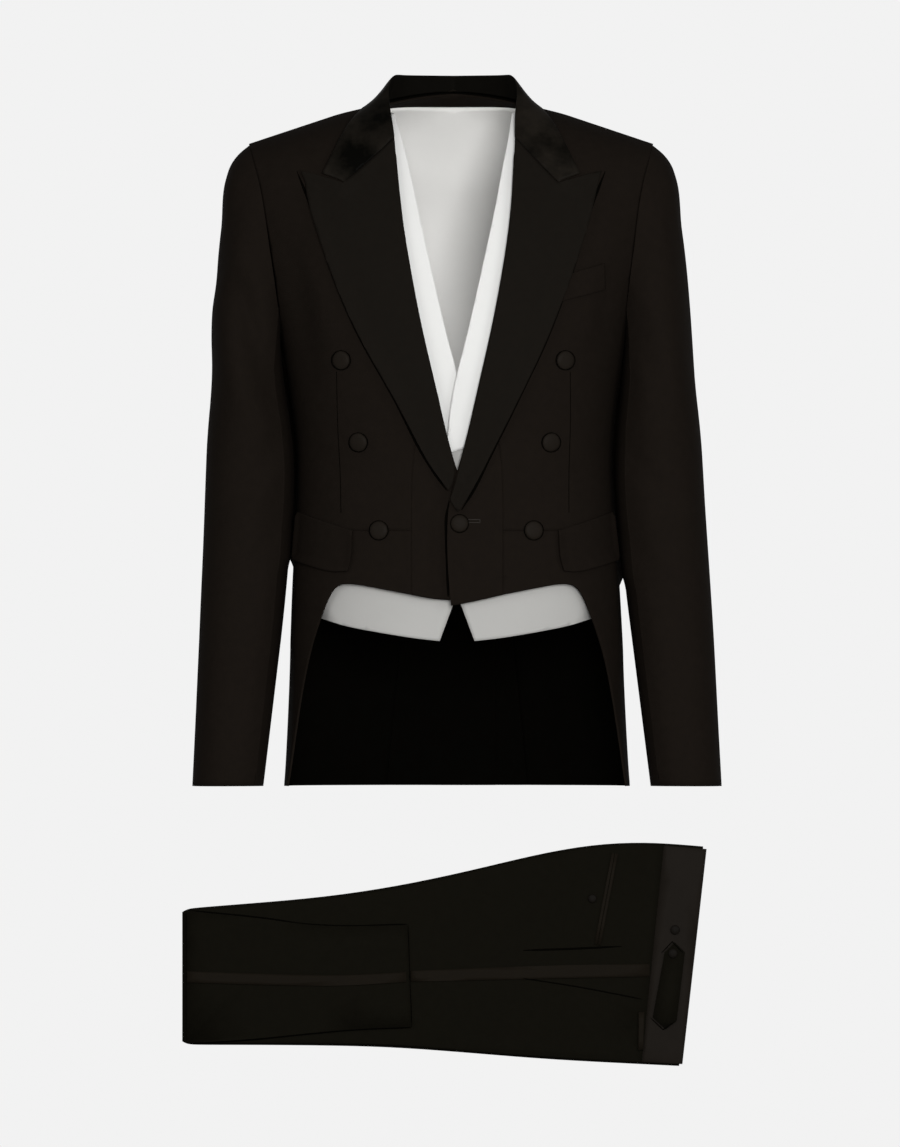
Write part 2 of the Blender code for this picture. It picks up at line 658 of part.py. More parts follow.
def lapel(side, wool):
    foot_outer = LAPEL_FOOT_TOP if side > 0 else LAPEL_FOOT_UNDER
    foot_inner = LAPEL_INNER_FOOT_TOP if side > 0 else LAPEL_INNER_FOOT_UNDER
    top = [to_angle(point) for point in GORGE]
    for share in (0.5, 1.0):
        x = GORGE[-1][0] + (PEAK[0] - GORGE[-1][0]) * share
        z = GORGE[-1][1] + (PEAK[1] - GORGE[-1][1]) * share
        top.append(to_angle((x, z)))
    columns = len(top) - 1
    middle = (to_angle(LAPEL_INNER[-1]), to_angle(LAPEL_EDGE[-1]))
    main = patch_between(side, FRONT, top, middle, LAPEL_INNER, LAPEL_EDGE, 10, columns)
    foot = patch_between(
        side, FRONT, middle,
        (to_angle(foot_inner[-1]), to_angle(foot_outer[-1])), foot_inner, foot_outer, 2, columns,
    )
    under = under_front(side)

    def lift(point):
        return under(point) + OVER_GAP + CLOTH

    body_wall(f"lapel_{side_name(side)}", stacked([main, foot]), lift, CLOTH, wool)


def on_front(side, name, top, bottom, left, right, rows, columns, lift, thickness, material):
    patch = patch_between(
        side, FRONT, lines_on(top, columns), lines_on(bottom, columns), left, right, rows, columns
    )
    return body_wall(name, patch, lift, thickness, material)


def flap(side, wool):
    on_front(
        side, f"hip_flap_{side_name(side)}", FLAP_TOP, FLAP_BOTTOM, FLAP_FRONT, FLAP_BACK, 3, 5,
        OVER_GAP + CLOTH, CLOTH, wool,
    )


def breast_welt(wool):
    on_front(
        1, "breast_welt", WELT_TOP, WELT_BOTTOM, [WELT_TOP[0], WELT_BOTTOM[0]], [WELT_TOP[1], WELT_BOTTOM[1]],
        2, 3, OVER_GAP + CLOTH, CLOTH, wool,
    )


# Collar: a folded band, its stand inside and its fall lying on the shoulders

def collar_station(index, side):
    x, *rest = COLLAR[-2]
    mirrored = (-x, *rest[:3], -rest[3], *rest[4:])
    table = [(k, *row) for k, row in enumerate(COLLAR + [mirrored])]
    neck_x, neck_z, rise, lean, edge_x, edge_z, sag = read_table(table, index)
    face = BACK if index > COLLAR_BACK_FROM else FRONT
    base = on_body(*to_angle((neck_x, min(neck_z, shoulder_line(neck_x))), face), side)
    radial = Vector((base.x, base.y, 0)).normalized()
    fold = Vector((0, 0, rise)) + radial * lean
    fall = []
    for share in COLLAR_SHARES:
        x = neck_x + (edge_x - neck_x) * share
        z = neck_z + (edge_z - neck_z) * share
        z -= sag * min(share / NOTCH_SHARE, (1 - share) / (1 - NOTCH_SHARE))
        angle = to_angle((x, min(z, shoulder_line(x))), face)
        point = on_body(*angle, side)
        step = 1.0
        near = to_angle((x - step, min(z, shoulder_line(x - step))), face)
        far = to_angle((x + step, min(z, shoulder_line(x + step))), face)
        below = to_angle((x, min(z, shoulder_line(x)) - step), face)
        across = on_body(*far, side) - on_body(*near, side)
        down = on_body(*below, side) - point
        normal = across.cross(down).normalized()
        if normal.dot(point - BODY_MIDDLE) < 0:
            normal = -normal
        if abs(x) < 0.2:
            normal.x = 0
        fall.append((point + fold * (1 - share) ** 1.6, normal))
    return base, radial, fold, fall


def collar(satin):
    steps = 11
    stations = []
    last = len(COLLAR) - 1
    for side in (-1, 1):
        order = range(steps + 1) if side < 0 else range(steps - 1, -1, -1)
        stations += [collar_station(last * step / steps, side) for step in order]
    rings = []
    for base, radial, fold, fall in stations:
        outer = []
        inner = []
        for share, (point, normal) in zip(COLLAR_SHARES, fall):
            out = (radial * (1 - share) + normal * (0.35 + share)).normalized()
            outer.append(point + out * (OVER_GAP + 0.2 + SATIN))
            inner.append(point + out * (OVER_GAP + 0.2))
        stand_foot = base + Vector((0, 0, 0.5)) + fold * 0.03
        ring = [stand_foot - radial * 0.2, stand_foot - radial * 0.2 + fold * 0.5]
        ring[1] = ring[1] - radial * 0.3
        ring.append(base + fold * 0.95 - radial * 0.2 + Vector((0, 0, 0.8)))
        ring.append(base + fold + Vector((0, 0, 2.2)) + radial * 0.6)
        ring += outer[:]
        ring += inner[:0:-1]
        ring.append(inner[1] * 0.5 + (base + fold * 0.6 + radial * 1.6) * 0.5)
        ring.append(stand_foot + radial * 1.5)
        rings.append(ring)
    loft("coat_collar", rings, satin)


def loft(name, rings, material):
    # Closed rings joined in order, with a cap at each end
    size = len(rings[0])
    vertices = [point for ring in rings for point in ring]
    faces = []
    for j in range(len(rings) - 1):
        for i in range(size):
            a = j * size + i
            b = j * size + (i + 1) % size
            faces.append((a, b, b + size, a + size))
    faces.append(tuple(range(size)))
    faces.append(tuple(range(len(vertices) - 1, len(vertices) - 1 - size, -1)))
    return make_object(name, vertices, faces, material)


def neck_facing(halves, wool):
    # The black band inside the neck, made from the back's own points
    rows, normals = (
        [left[:0:-1] + right for left, right in zip(halves[-1][index], halves[1][index])] for index in (0, 1)
    )
    wall("coat_neck_facing", inset(rows), normals, -CLOTH - SEAM_GAP, FACING_CLOTH, wool)


def button_on_body(name, point, side, radius, height, lift, material):
    x, z = point
    centre = on_body(*to_angle((x, z)), side)
    across = on_body(*to_angle((x + 2, z)), side) - centre
    down = on_body(*to_angle((x, z - 2)), side) - centre
    normal = across.cross(down).normalized()
    if normal.dot(centre - BODY_MIDDLE) < 0:
        normal = -normal
    make_button(name, centre + normal * lift, normal, radius, height, material)


def make_button(name, base, normal, radius, height, material):
    # A covered button: a disc with a soft rim
    mesh = bpy.data.meshes.new(name)
    work = bmesh.new()
    bmesh.ops.create_cone(
        work, cap_ends=True, segments=14, radius1=radius * MM, radius2=radius * MM, depth=height * MM
    )
    rim = [edge for edge in work.edges if all(v.co.z > 0 for v in edge.verts)]
    bmesh.ops.bevel(work, geom=rim, offset=height * 0.55 * MM, segments=2, affect="EDGES")
    work.to_mesh(mesh)
    work.free()
    mesh.shade_smooth()
    mesh.set_sharp_from_angle(angle=math.radians(50))
    mesh.materials.append(material)
    part = bpy.data.objects.new(name, mesh)
    part.rotation_euler = normal.to_track_quat("Z", "Y").to_euler()
    part.location = (base + normal * (height / 2)) * MM
    SUIT.objects.link(part)


# Waistcoat

def waistcoat_depth(point, side, under):
    # The waistcoat lies deepest in front, and deeper still where the right front is covered
    forward = smooth_step(-point.y / 60)
    behind = smooth_step(point.y / 50)
    low = smooth_step((-point.z - 380) / 50)
    depth = 5.6 + 3.0 * forward + behind * (3.6 * low - 1.4)
    if under:
        depth += 5.4 * (1 - smooth_step((point.x * side - 12) / 50))
    return -depth


def waistcoat_front(side, satin):
    under = side < 0
    edge = WAISTCOAT_EDGE_UNDER if under else WAISTCOAT_EDGE_TOP
    point_edge = WAISTCOAT_POINT_UNDER if under else WAISTCOAT_POINT_TOP
    columns = 6
    upper_end = (to_angle(WAISTCOAT_V[-1]), (0.0, -240))
    upper = patch_between(
        side, FRONT, lines_on(WAISTCOAT_SHOULDER, columns), upper_end,
        WAISTCOAT_V, WAISTCOAT_ARMHOLE, 9, columns,
    )
    level = edge[-1][1]
    lower = body_patch(
        side, straight(*upper_end, columns), straight(to_angle(edge[-1]), (0.0, level), columns),
        lines_on(edge, FINE), straight((0.0, -240), (0.0, level), FINE), 6,
    )
    bottom = lines_on(WAISTCOAT_LOWER[:-1], columns - 1) + [(0.0, WAISTCOAT_HEM)]
    tip = body_patch(
        side, straight(to_angle(edge[-1]), (0.0, level), columns), bottom,
        lines_on(point_edge, FINE), straight((0.0, level), (0.0, WAISTCOAT_HEM), FINE), 3,
    )
    body_wall(
        f"waistcoat_front_{side_name(side)}", stacked([upper, lower, tip]),
        lambda point: waistcoat_depth(point, side, under), WAISTCOAT_CLOTH, satin,
    )


def waistcoat_band(side, satin):
    under = side < 0
    inner = BAND_INNER_UNDER if under else BAND_INNER_TOP
    outer = BAND_OUTER_UNDER if under else BAND_OUTER_TOP
    patch = patch_between(
        side, FRONT, (to_angle(inner[0]), to_angle(outer[0])), (to_angle(inner[-1]), to_angle(outer[-1])),
        inner, outer, 14, 3,
    )
    over_front = BAND_GAP + WAISTCOAT_CLOTH
    body_wall(
        f"waistcoat_lapel_{side_name(side)}", patch,
        lambda point: waistcoat_depth(point, side, under) + over_front, WAISTCOAT_CLOTH, satin,
    )


def waistcoat_back(satin):
    halves = {}
    for side in (-1, 1):
        top = lines_on(WAISTCOAT_NECK, 3, BACK)[:-1] + lines_on(WAISTCOAT_BACK_SHOULDER, 3, BACK)
        columns = len(top) - 1
        middle = (to_angle((0, -240), BACK), (0.0, -240))
        upper = patch_between(
            side, BACK, top, middle, [WAISTCOAT_NECK[0], (0, -240)], WAISTCOAT_ARMHOLE, 6, columns
        )
        lower = body_patch(
            side, straight(*middle, columns),
            straight(to_angle((0, WAISTCOAT_BACK_HEM), BACK), (0.0, WAISTCOAT_HEM), columns),
            straight(middle[0], to_angle((0, WAISTCOAT_BACK_HEM), BACK), FINE),
            straight(middle[1], (0.0, WAISTCOAT_HEM), FINE), 6,
        )
        halves[side] = stacked([upper, lower])
    rows = [left[:0:-1] + right for left, right in zip(halves[-1], halves[1])]
    body_wall("waistcoat_back", rows, lambda point: waistcoat_depth(point, 1, False), WAISTCOAT_CLOTH, satin)


# Trousers

def trouser_station(share):
    # One cut across the bundle: straight at the fold, following the slanted waist at the other end
    fold_x = TROUSERS[0][0]
    top_end, bottom_end = TROUSERS_WAIST
    top_x = fold_x + (top_end[0] - fold_x) * share
    bottom_x = fold_x + (bottom_end[0] - fold_x) * share
    return top_x, trouser_height(top_x, 0), bottom_x, trouser_height(bottom_x, 1)


def trouser_height(x, column):
    table = [(row[0], row[1 + column]) for row in TROUSERS]
    end = TROUSERS_WAIST[column]
    table[-1] = end
    return read_table(table, x)[0]


# Layered edge of the bundle: height from the edge, y
EDGE_PROFILE = [
    (9, 12), (2, 12), (0, 9.5), (0.3, 6.8), (3, 5.9), (0.8, 4.8), (0.2, 1.6), (2.2, -2.4), (8, -5),
]


def folded_layers(wool):
    shares = [0, 0.01, 0.03, 0.13, 0.27, 0.41, 0.55, 0.67, 0.78, 0.88, 0.97, 0.985, 0.99]
    rings = []
    for share in shares:
        top_x, top_z, bottom_x, bottom_z = trouser_station(share)
        squeeze = 1.0
        if share < 0.02:
            squeeze = 0.45 if share == 0 else 0.85
        if share > 0.98:
            squeeze = 0.85 if share < 0.99 else 0.55
        ring = []
        height = top_z - bottom_z
        for inward, y in EDGE_PROFILE:
            t = inward / height
            ring.append(Vector((top_x + (bottom_x - top_x) * t, y, top_z - inward)))
        for inward, y in EDGE_PROFILE[::-1]:
            t = 1 - inward / height
            ring.append(Vector((top_x + (bottom_x - top_x) * t, y, bottom_z + inward)))
        rings.append([Vector((p.x, TROUSERS_BACK + (p.y - TROUSERS_BACK) * squeeze, p.z)) for p in ring])
    loft("trousers_folded_layers", rings, wool)


def flat_rows(top, bottom, rows, columns, droop=2.4):
    # A layer on the front of the bundle, its edges falling back a little
    upper = along(top, columns)
    lower = along(bottom, columns)
    shares = [index / rows for index in range(rows + 1)]
    if droop:
        edge = EDGE_BAND / (upper[0][1] - lower[0][1])
        shares = [0.0] + [edge + (1 - 2 * edge) * index / (rows - 2) for index in range(rows - 1)] + [1.0]
    grid = []
    for v in shares:
        y = TROUSERS_FRONT + (droop if v in (0.0, 1.0) else 0)
        grid.append([
            Vector((x0 + (x1 - x0) * v, y, z0 + (z1 - z0) * v)) for (x0, z0), (x1, z1) in zip(upper, lower)
        ])
    return grid


def flat_wall(name, rows, lift, thickness, material):
    normals = [[Vector((0, -1, 0)) for _ in row] for row in rows]
    return wall(name, inset(rows), normals, lift, thickness, material)


def trousers(wool, satin):
    folded_layers(wool)
    shares = [0.012, 0.2, 0.42, 0.64, 0.82, 0.915]
    top = []
    bottom = []
    for share in shares:
        top_x, top_z, bottom_x, bottom_z = trouser_station(share)
        top.append((top_x, top_z - 2.2))
        bottom.append((bottom_x, bottom_z + 2.2))
    leg_lift = 0.6 + LEG_CLOTH
    flat_wall("trousers_top_leg", flat_rows(top, bottom, 8, 12), leg_lift, LEG_CLOTH, wool)
    band_rows = flat_rows([top[-1], (260, -755.5)], [bottom[-1], (234.5, -981.8)], 8, 3)
    flat_wall("trousers_waistband", band_rows, leg_lift, LEG_CLOTH, satin)
    over = leg_lift + LAYER_GAP
    turned_rows = flat_rows(TURNED_TOP, TURNED_BOTTOM, 5, 8, 0)
    flat_wall("trousers_turned_leg", turned_rows, over + TURNED_CLOTH, TURNED_CLOTH, wool)
    flat_wall(
        "trousers_side_stripe", flat_rows(STRIPE_TOP, STRIPE_BOTTOM, 2, 8, 0),
        over + STRIPE_CLOTH, STRIPE_CLOTH, satin,
    )
    flat_wall(
        "trousers_turned_stripe", flat_rows(TURNED_STRIPE_TOP, TURNED_STRIPE_BOTTOM, 2, 8, 0),
        over + TURNED_CLOTH + LAYER_GAP + STRIPE_CLOTH, STRIPE_CLOTH, satin,
    )
    flat_wall(
        "trousers_front_strip", flat_rows(FRONT_STRIP[:2], [FRONT_STRIP[3], FRONT_STRIP[2]], 2, 2, 0),
        over + STRIPE_CLOTH, STRIPE_CLOTH, satin,
    )
    pocket(wool, over)
    adjuster(satin, over)


def pocket(wool, over):
    start, end = Vector((*POCKET_START, 0)), Vector((*POCKET_END, 0))
    along_slit = (end - start).normalized()
    across = Vector((-along_slit.y, along_slit.x, 0))
    for label, offset in (("inner", -1), ("outer", 1)):
        near = across * offset * 0.2
        far = across * offset * (0.2 + POCKET_JET_WIDTH)
        top = [tuple((start + near).xy), tuple((start + far).xy)]
        bottom = [tuple((end + near).xy), tuple((end + far).xy)]
        jet_rows = flat_rows(top, bottom, 4, 2, 0)
        flat_wall(f"back_pocket_jet_{label}", jet_rows, over + JET_CLOTH, JET_CLOTH, wool)
    button_base = Vector((POCKET_BUTTON[0], TROUSERS_FRONT - over - 0.2, POCKET_BUTTON[1]))
    make_button(
        "back_pocket_button", button_base, Vector((0, -1, 0)), POCKET_BUTTON_RADIUS, SMALL_BUTTON_HEIGHT, wool
    )


def adjuster(satin, over):
    # A tab pointed at both ends, cut flat and laid on the waistband's seam
    y = TROUSERS_FRONT - over - 0.1
    front = [Vector((x, y - TAB_CLOTH, z)) for x, z in ADJUSTER]
    back = [Vector((x, y, z)) for x, z in ADJUSTER]
    loft("side_adjuster_tab", [back, front], satin)
    for name, (x, z), base in (
        ("side_adjuster_button", ADJUSTER_BUTTON, y - TAB_CLOTH - SEAM_GAP),
        ("waistband_button", SECOND_BUTTON, y),
    ):
        make_button(
            name, Vector((x, base, z)), Vector((0, -1, 0)), SMALL_BUTTON_RADIUS, SMALL_BUTTON_HEIGHT, satin
        )


# Materials

def make_material(name, color, roughness, sheen=0.0):
    material = bpy.data.materials.new(name)
    material.use_nodes = True
    shader = material.node_tree.nodes["Principled BSDF"]
    shader.inputs["Base Color"].default_value = (*color, 1)
    shader.inputs["Roughness"].default_value = roughness
    shader.inputs["Metallic"].default_value = 0.0
    shader.inputs["Sheen Weight"].default_value = sheen
    return material


def build():
    wool = make_material("black_wool", (0.010, 0.009, 0.008), 0.85, 0.2)
    satin = make_material("black_satin", (0.018, 0.016, 0.014), 0.42)
    white = make_material("white_pique", (0.80, 0.80, 0.78), 0.6)
    silver = make_material("grey_satin", (0.50, 0.49, 0.47), 0.4)
    neck_halves = {}
    for side in (-1, 1):
        front_edge = coat_front(side, wool)
        coat_strap(side, wool)
        low_edge = coat_side(side, wool)
        back_edge, neck_halves[side] = coat_back(side, wool)
        coat_skirt(side, wool)
        sleeve(side, front_edge, low_edge, back_edge, wool)
        lapel(side, wool)
        flap(side, wool)
        for number, point in enumerate(SHOW_BUTTONS, 1):
            name = f"show_button_{side_name(side)}_{number}"
            button_on_body(name, point, side, BUTTON_RADIUS, BUTTON_HEIGHT, BUTTON_SEAT, satin)
        waistcoat_front(side, silver)
        waistcoat_band(side, white)
    button_on_body(
        "closing_button", CLOSING_BUTTON, 1, CLOSING_BUTTON_RADIUS, BUTTON_HEIGHT, CLOSING_BUTTON_SEAT, satin
    )
    collar(satin)
    neck_facing(neck_halves, wool)
    breast_welt(wool)
    waistcoat_back(silver)
    trousers(wool, satin)


for old in list(bpy.data.objects):
    bpy.data.objects.remove(old, do_unlink=True)
SUIT = bpy.data.collections.new("tuxedo")
bpy.context.scene.collection.children.link(SUIT)
build()
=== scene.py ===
# Evening dress suit: black tailcoat with satin collar, pale waistcoat inside, folded trousers below.
# Metres, front towards -Y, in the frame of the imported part.

import math

import bmesh
import bpy
import numpy as np
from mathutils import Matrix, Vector
from mathutils.bvhtree import BVHTree
from mathutils.kdtree import KDTree


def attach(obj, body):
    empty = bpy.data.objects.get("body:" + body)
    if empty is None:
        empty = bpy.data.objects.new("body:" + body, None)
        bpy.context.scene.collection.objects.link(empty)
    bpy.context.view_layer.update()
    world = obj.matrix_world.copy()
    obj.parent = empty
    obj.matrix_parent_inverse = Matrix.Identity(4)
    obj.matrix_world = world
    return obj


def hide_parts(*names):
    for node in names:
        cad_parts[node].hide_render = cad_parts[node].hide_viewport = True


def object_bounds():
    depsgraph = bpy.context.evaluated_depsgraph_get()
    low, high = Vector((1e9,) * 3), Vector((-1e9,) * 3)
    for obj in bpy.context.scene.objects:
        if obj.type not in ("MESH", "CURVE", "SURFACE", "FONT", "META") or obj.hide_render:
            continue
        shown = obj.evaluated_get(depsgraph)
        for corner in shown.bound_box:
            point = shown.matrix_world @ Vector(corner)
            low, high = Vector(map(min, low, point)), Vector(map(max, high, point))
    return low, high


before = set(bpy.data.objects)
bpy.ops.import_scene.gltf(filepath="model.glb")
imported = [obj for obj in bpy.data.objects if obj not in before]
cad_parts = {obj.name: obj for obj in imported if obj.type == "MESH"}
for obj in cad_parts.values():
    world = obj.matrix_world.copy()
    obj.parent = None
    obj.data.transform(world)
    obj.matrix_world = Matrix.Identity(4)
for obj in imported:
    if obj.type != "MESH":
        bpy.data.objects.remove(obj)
cad_low, cad_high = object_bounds()
SIDES = {"right": -1, "left": 1}

# Coat body
# Fronts, front straps, sides, backs and tail skirts in fine black wool twill.
# The panels are cut to shape, seamed edge to edge and pressed; the tails hang open below the waist.

RIM_ANGLE = math.radians(40)
SHARP_ANGLE = math.radians(50)
SQUARE_BEND = math.radians(20)
SQUARE_SKEW = math.radians(100)
WELD = 0.00002
WOOL_BLACK = (0.0059, 0.0043, 0.0031)
WOOL_GREY = (0.0097, 0.0072, 0.0055)
SEAM_CLOSE = 0.00018
RIM_WIDTH = 0.0027
BODY_HALF_WIDTH = 0.175
BODY_HALF_DEPTH = 0.115


def finer(node, name, levels):
    # A finer copy of a piece's solid: its squares are joined again and its cut edges stay crisp
    work = bmesh.new()
    work.from_mesh(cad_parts[node].data)
    bmesh.ops.remove_doubles(work, verts=work.verts, dist=WELD)
    if levels:
        bmesh.ops.join_triangles(
            work, faces=work.faces, angle_face_threshold=SQUARE_BEND, angle_shape_threshold=SQUARE_SKEW
        )
    crease = work.edges.layers.float.new("crease_edge")
    for edge in work.edges:
        if edge.calc_face_angle(0) > RIM_ANGLE:
            edge[crease] = 1.0
    # The cut edges reach to the seams, so that no light passes between two panels
    reach = {}
    for face in work.faces:
        crisp = sum(edge[crease] for edge in face.edges)
        if crisp >= 2 and min(edge.calc_length() for edge in face.edges) < RIM_WIDTH:
            for vertex in face.verts:
                reach[vertex] = reach.get(vertex, Vector()) + face.normal
    for vertex, way in reach.items():
        vertex.co += way.normalized() * SEAM_CLOSE
    mesh = bpy.data.meshes.new(name)
    work.to_mesh(mesh)
    work.free()
    piece = bpy.data.objects.new(name, mesh)
    bpy.context.scene.collection.objects.link(piece)
    smoother = piece.modifiers.new("smooth cloth", "SUBSURF")
    smoother.levels = levels
    smoother.render_levels = levels
    seen = piece.evaluated_get(bpy.context.evaluated_depsgraph_get())
    piece.data = bpy.data.meshes.new_from_object(seen)
    piece.modifiers.clear()
    bpy.data.meshes.remove(mesh)
    piece.data.name = name
    return piece


def places(piece):
    values = np.empty(len(piece.data.vertices) * 3)
    piece.data.vertices.foreach_get("co", values)
    return values.reshape(-1, 3)


def put_places(piece, points):
    piece.data.vertices.foreach_set("co", points.ravel())
    piece.data.update()


def gentle(values):
    values = np.clip(values, 0, 1)
    return values * values * (3 - 2 * values)


def fade(values, start, end):
    # Softly from 0 at start to 1 at end
    return gentle((values - start) / (end - start))


def unit(vectors):
    return vectors / np.maximum(np.linalg.norm(vectors, axis=1), 1e-9)[:, None]


def round_body(points):
    # Straight out from the middle of the body
    out = np.zeros_like(points)
    out[:, 0] = points[:, 0] / BODY_HALF_WIDTH**2
    out[:, 1] = points[:, 1] / BODY_HALF_DEPTH**2
    return unit(out)


def crease_height(points, out, creases):
    # Soft troughs (depth below 0) and ridges along lines of the front view, fading at both ends
    height = np.zeros(len(points))
    flat = points[:, [0, 2]]
    for face, width, depth, line in creases:
        spots = np.array(line)
        lengths = np.linalg.norm(np.diff(spots, axis=0), axis=1)
        whole = lengths.sum()
        nearest = np.full(len(points), 1e9)
        share = np.zeros(len(points))
        done = 0.0
        for start, end, length in zip(spots, spots[1:], lengths):
            t = np.clip((flat - start) @ (end - start) / length**2, 0, 1)
            distance = np.linalg.norm(flat - start - t[:, None] * (end - start), axis=1)
            better = distance < nearest
            nearest = np.where(better, distance, nearest)
            share = np.where(better, (done + t * length) / whole, share)
            done += length
        facing = gentle(0.5 + 1.6 * (-out[:, 1] if face == "front" else out[:, 1]))
        height += depth * np.exp(-((nearest / width) ** 2)) * np.sin(np.pi * share) ** 0.7 * facing
    return height


def new_socket(group, name, kind, way="INPUT", value=None):
    made = group.interface.new_socket(name=name, in_out=way, socket_type=kind)
    if value is not None:
        made.default_value = value
    return made


def twill_group():
    # Diagonal twill threads with a little slub, from the piece's own place in space
    group = bpy.data.node_groups.new("twill threads", "ShaderNodeTree")
    new_socket(group, "Threads per metre", "NodeSocketFloat", value=1100.0)
    new_socket(group, "Nap scale", "NodeSocketFloat", value=120.0)
    new_socket(group, "Height", "NodeSocketFloat", "OUTPUT")
    new_socket(group, "Nap", "NodeSocketFloat", "OUTPUT")
    nodes, links = group.nodes, group.links
    given = nodes.new("NodeGroupInput")
    result = nodes.new("NodeGroupOutput")
    place = nodes.new("ShaderNodeTexCoord")
    split = nodes.new("ShaderNodeSeparateXYZ")
    links.new(place.outputs["Object"], split.inputs[0])

    def math_node(kind, first, second):
        node = nodes.new("ShaderNodeMath")
        node.operation = kind
        for socket, value in zip(node.inputs, (first, second)):
            if isinstance(value, bpy.types.NodeSocket):
                links.new(value, socket)
            elif value is not None:
                socket.default_value = value
        return node.outputs[0]

    along = math_node("ADD", split.outputs["X"], split.outputs["Y"])
    rise = math_node("MULTIPLY", split.outputs["Z"], 0.62)
    diagonal = math_node("ADD", along, rise)
    turns = math_node("MULTIPLY", diagonal, given.outputs["Threads per metre"])
    threads = math_node("SINE", math_node("MULTIPLY", turns, math.tau), None)
    noise = nodes.new("ShaderNodeTexNoise")
    noise.inputs["Detail"].default_value = 5.0
    noise.inputs["Roughness"].default_value = 0.65
    links.new(place.outputs["Object"], noise.inputs["Vector"])
    links.new(given.outputs["Nap scale"], noise.inputs["Scale"])
    nap = noise.outputs[0]
    height = math_node("ADD", math_node("MULTIPLY", threads, 0.35), math_node("MULTIPLY", nap, 0.9))
    links.new(height, result.inputs["Height"])
    links.new(nap, result.inputs["Nap"])
    return group


TWILL = twill_group()
ROUGH_SPREAD = 0.05
THREAD_RELIEF = 0.0004


def cloth_material(name, dark, light, roughness, specular, threads, bump, nap_scale=120.0, spread=0.5):
    # spread: how far from the middle the nap goes from its darkest to its lightest
    material = bpy.data.materials.new(name)
    material.use_nodes = True
    nodes, links = material.node_tree.nodes, material.node_tree.links
    shader = nodes["Principled BSDF"]
    weave = nodes.new("ShaderNodeGroup")
    weave.node_tree = TWILL
    weave.inputs["Threads per metre"].default_value = threads
    weave.inputs["Nap scale"].default_value = nap_scale
    colour = nodes.new("ShaderNodeMix")
    colour.data_type = "RGBA"
    colour.inputs["A"].default_value = (*dark, 1)
    colour.inputs["B"].default_value = (*light, 1)
    factor = nodes.new("ShaderNodeMapRange")
    factor.inputs["From Min"].default_value = 0.5 - spread
    factor.inputs["From Max"].default_value = 0.5 + spread
    links.new(weave.outputs["Nap"], factor.inputs["Value"])
    links.new(factor.outputs["Result"], colour.inputs["Factor"])
    links.new(colour.outputs["Result"], shader.inputs["Base Color"])
    rough = nodes.new("ShaderNodeMapRange")
    rough.inputs["From Min"].default_value = 0.3
    rough.inputs["From Max"].default_value = 0.7
    rough.inputs["To Min"].default_value = roughness - ROUGH_SPREAD
    rough.inputs["To Max"].default_value = roughness + ROUGH_SPREAD
    links.new(weave.outputs["Nap"], rough.inputs["Value"])
    links.new(rough.outputs["Result"], shader.inputs["Roughness"])
    relief = nodes.new("ShaderNodeBump")
    relief.inputs["Strength"].default_value = bump
    relief.inputs["Distance"].default_value = THREAD_RELIEF
    links.new(weave.outputs["Height"], relief.inputs["Height"])
    links.new(relief.outputs["Normal"], shader.inputs["Normal"])
    shader.inputs["Specular IOR Level"].default_value = specular
    return material


def line_inside(piece, out, lining):
    # The faces that look inwards show the lining
    piece.data.materials.append(lining)
    normals = np.empty(len(piece.data.polygons) * 3)
    piece.data.polygons.foreach_get("normal", normals)
    corners = np.empty(len(piece.data.loops), dtype=np.int32)
    piece.data.loops.foreach_get("vertex_index", corners)
    starts = np.empty(len(piece.data.polygons), dtype=np.int32)
    piece.data.polygons.foreach_get("loop_start", starts)
    inward = (normals.reshape(-1, 3) * out[corners[starts]]).sum(axis=1) < -0.5
    piece.data.polygons.foreach_set("material_index", inward.astype(np.int32))


def dress(piece, material, slot_name, *nodes):
    piece.data.materials.clear()
    piece.data.materials.append(material)
    piece.data.shade_smooth()
    piece.data.set_sharp_from_angle(angle=SHARP_ANGLE)
    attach(piece, "root")
    if nodes:
        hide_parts(*nodes)
    return piece


wool = cloth_material("black wool twill", WOOL_BLACK, WOOL_GREY, 0.85, 0.03, 900.0, 0.25)
# The lining is its own black made darker still: partly real colour, partly painted shade inside the coat
lining = cloth_material("black lining", (0.0013, 0.0012, 0.0009), (0.0021, 0.0019, 0.0015),
                        0.80, 0.0, 2600.0, 0.04, 60.0)

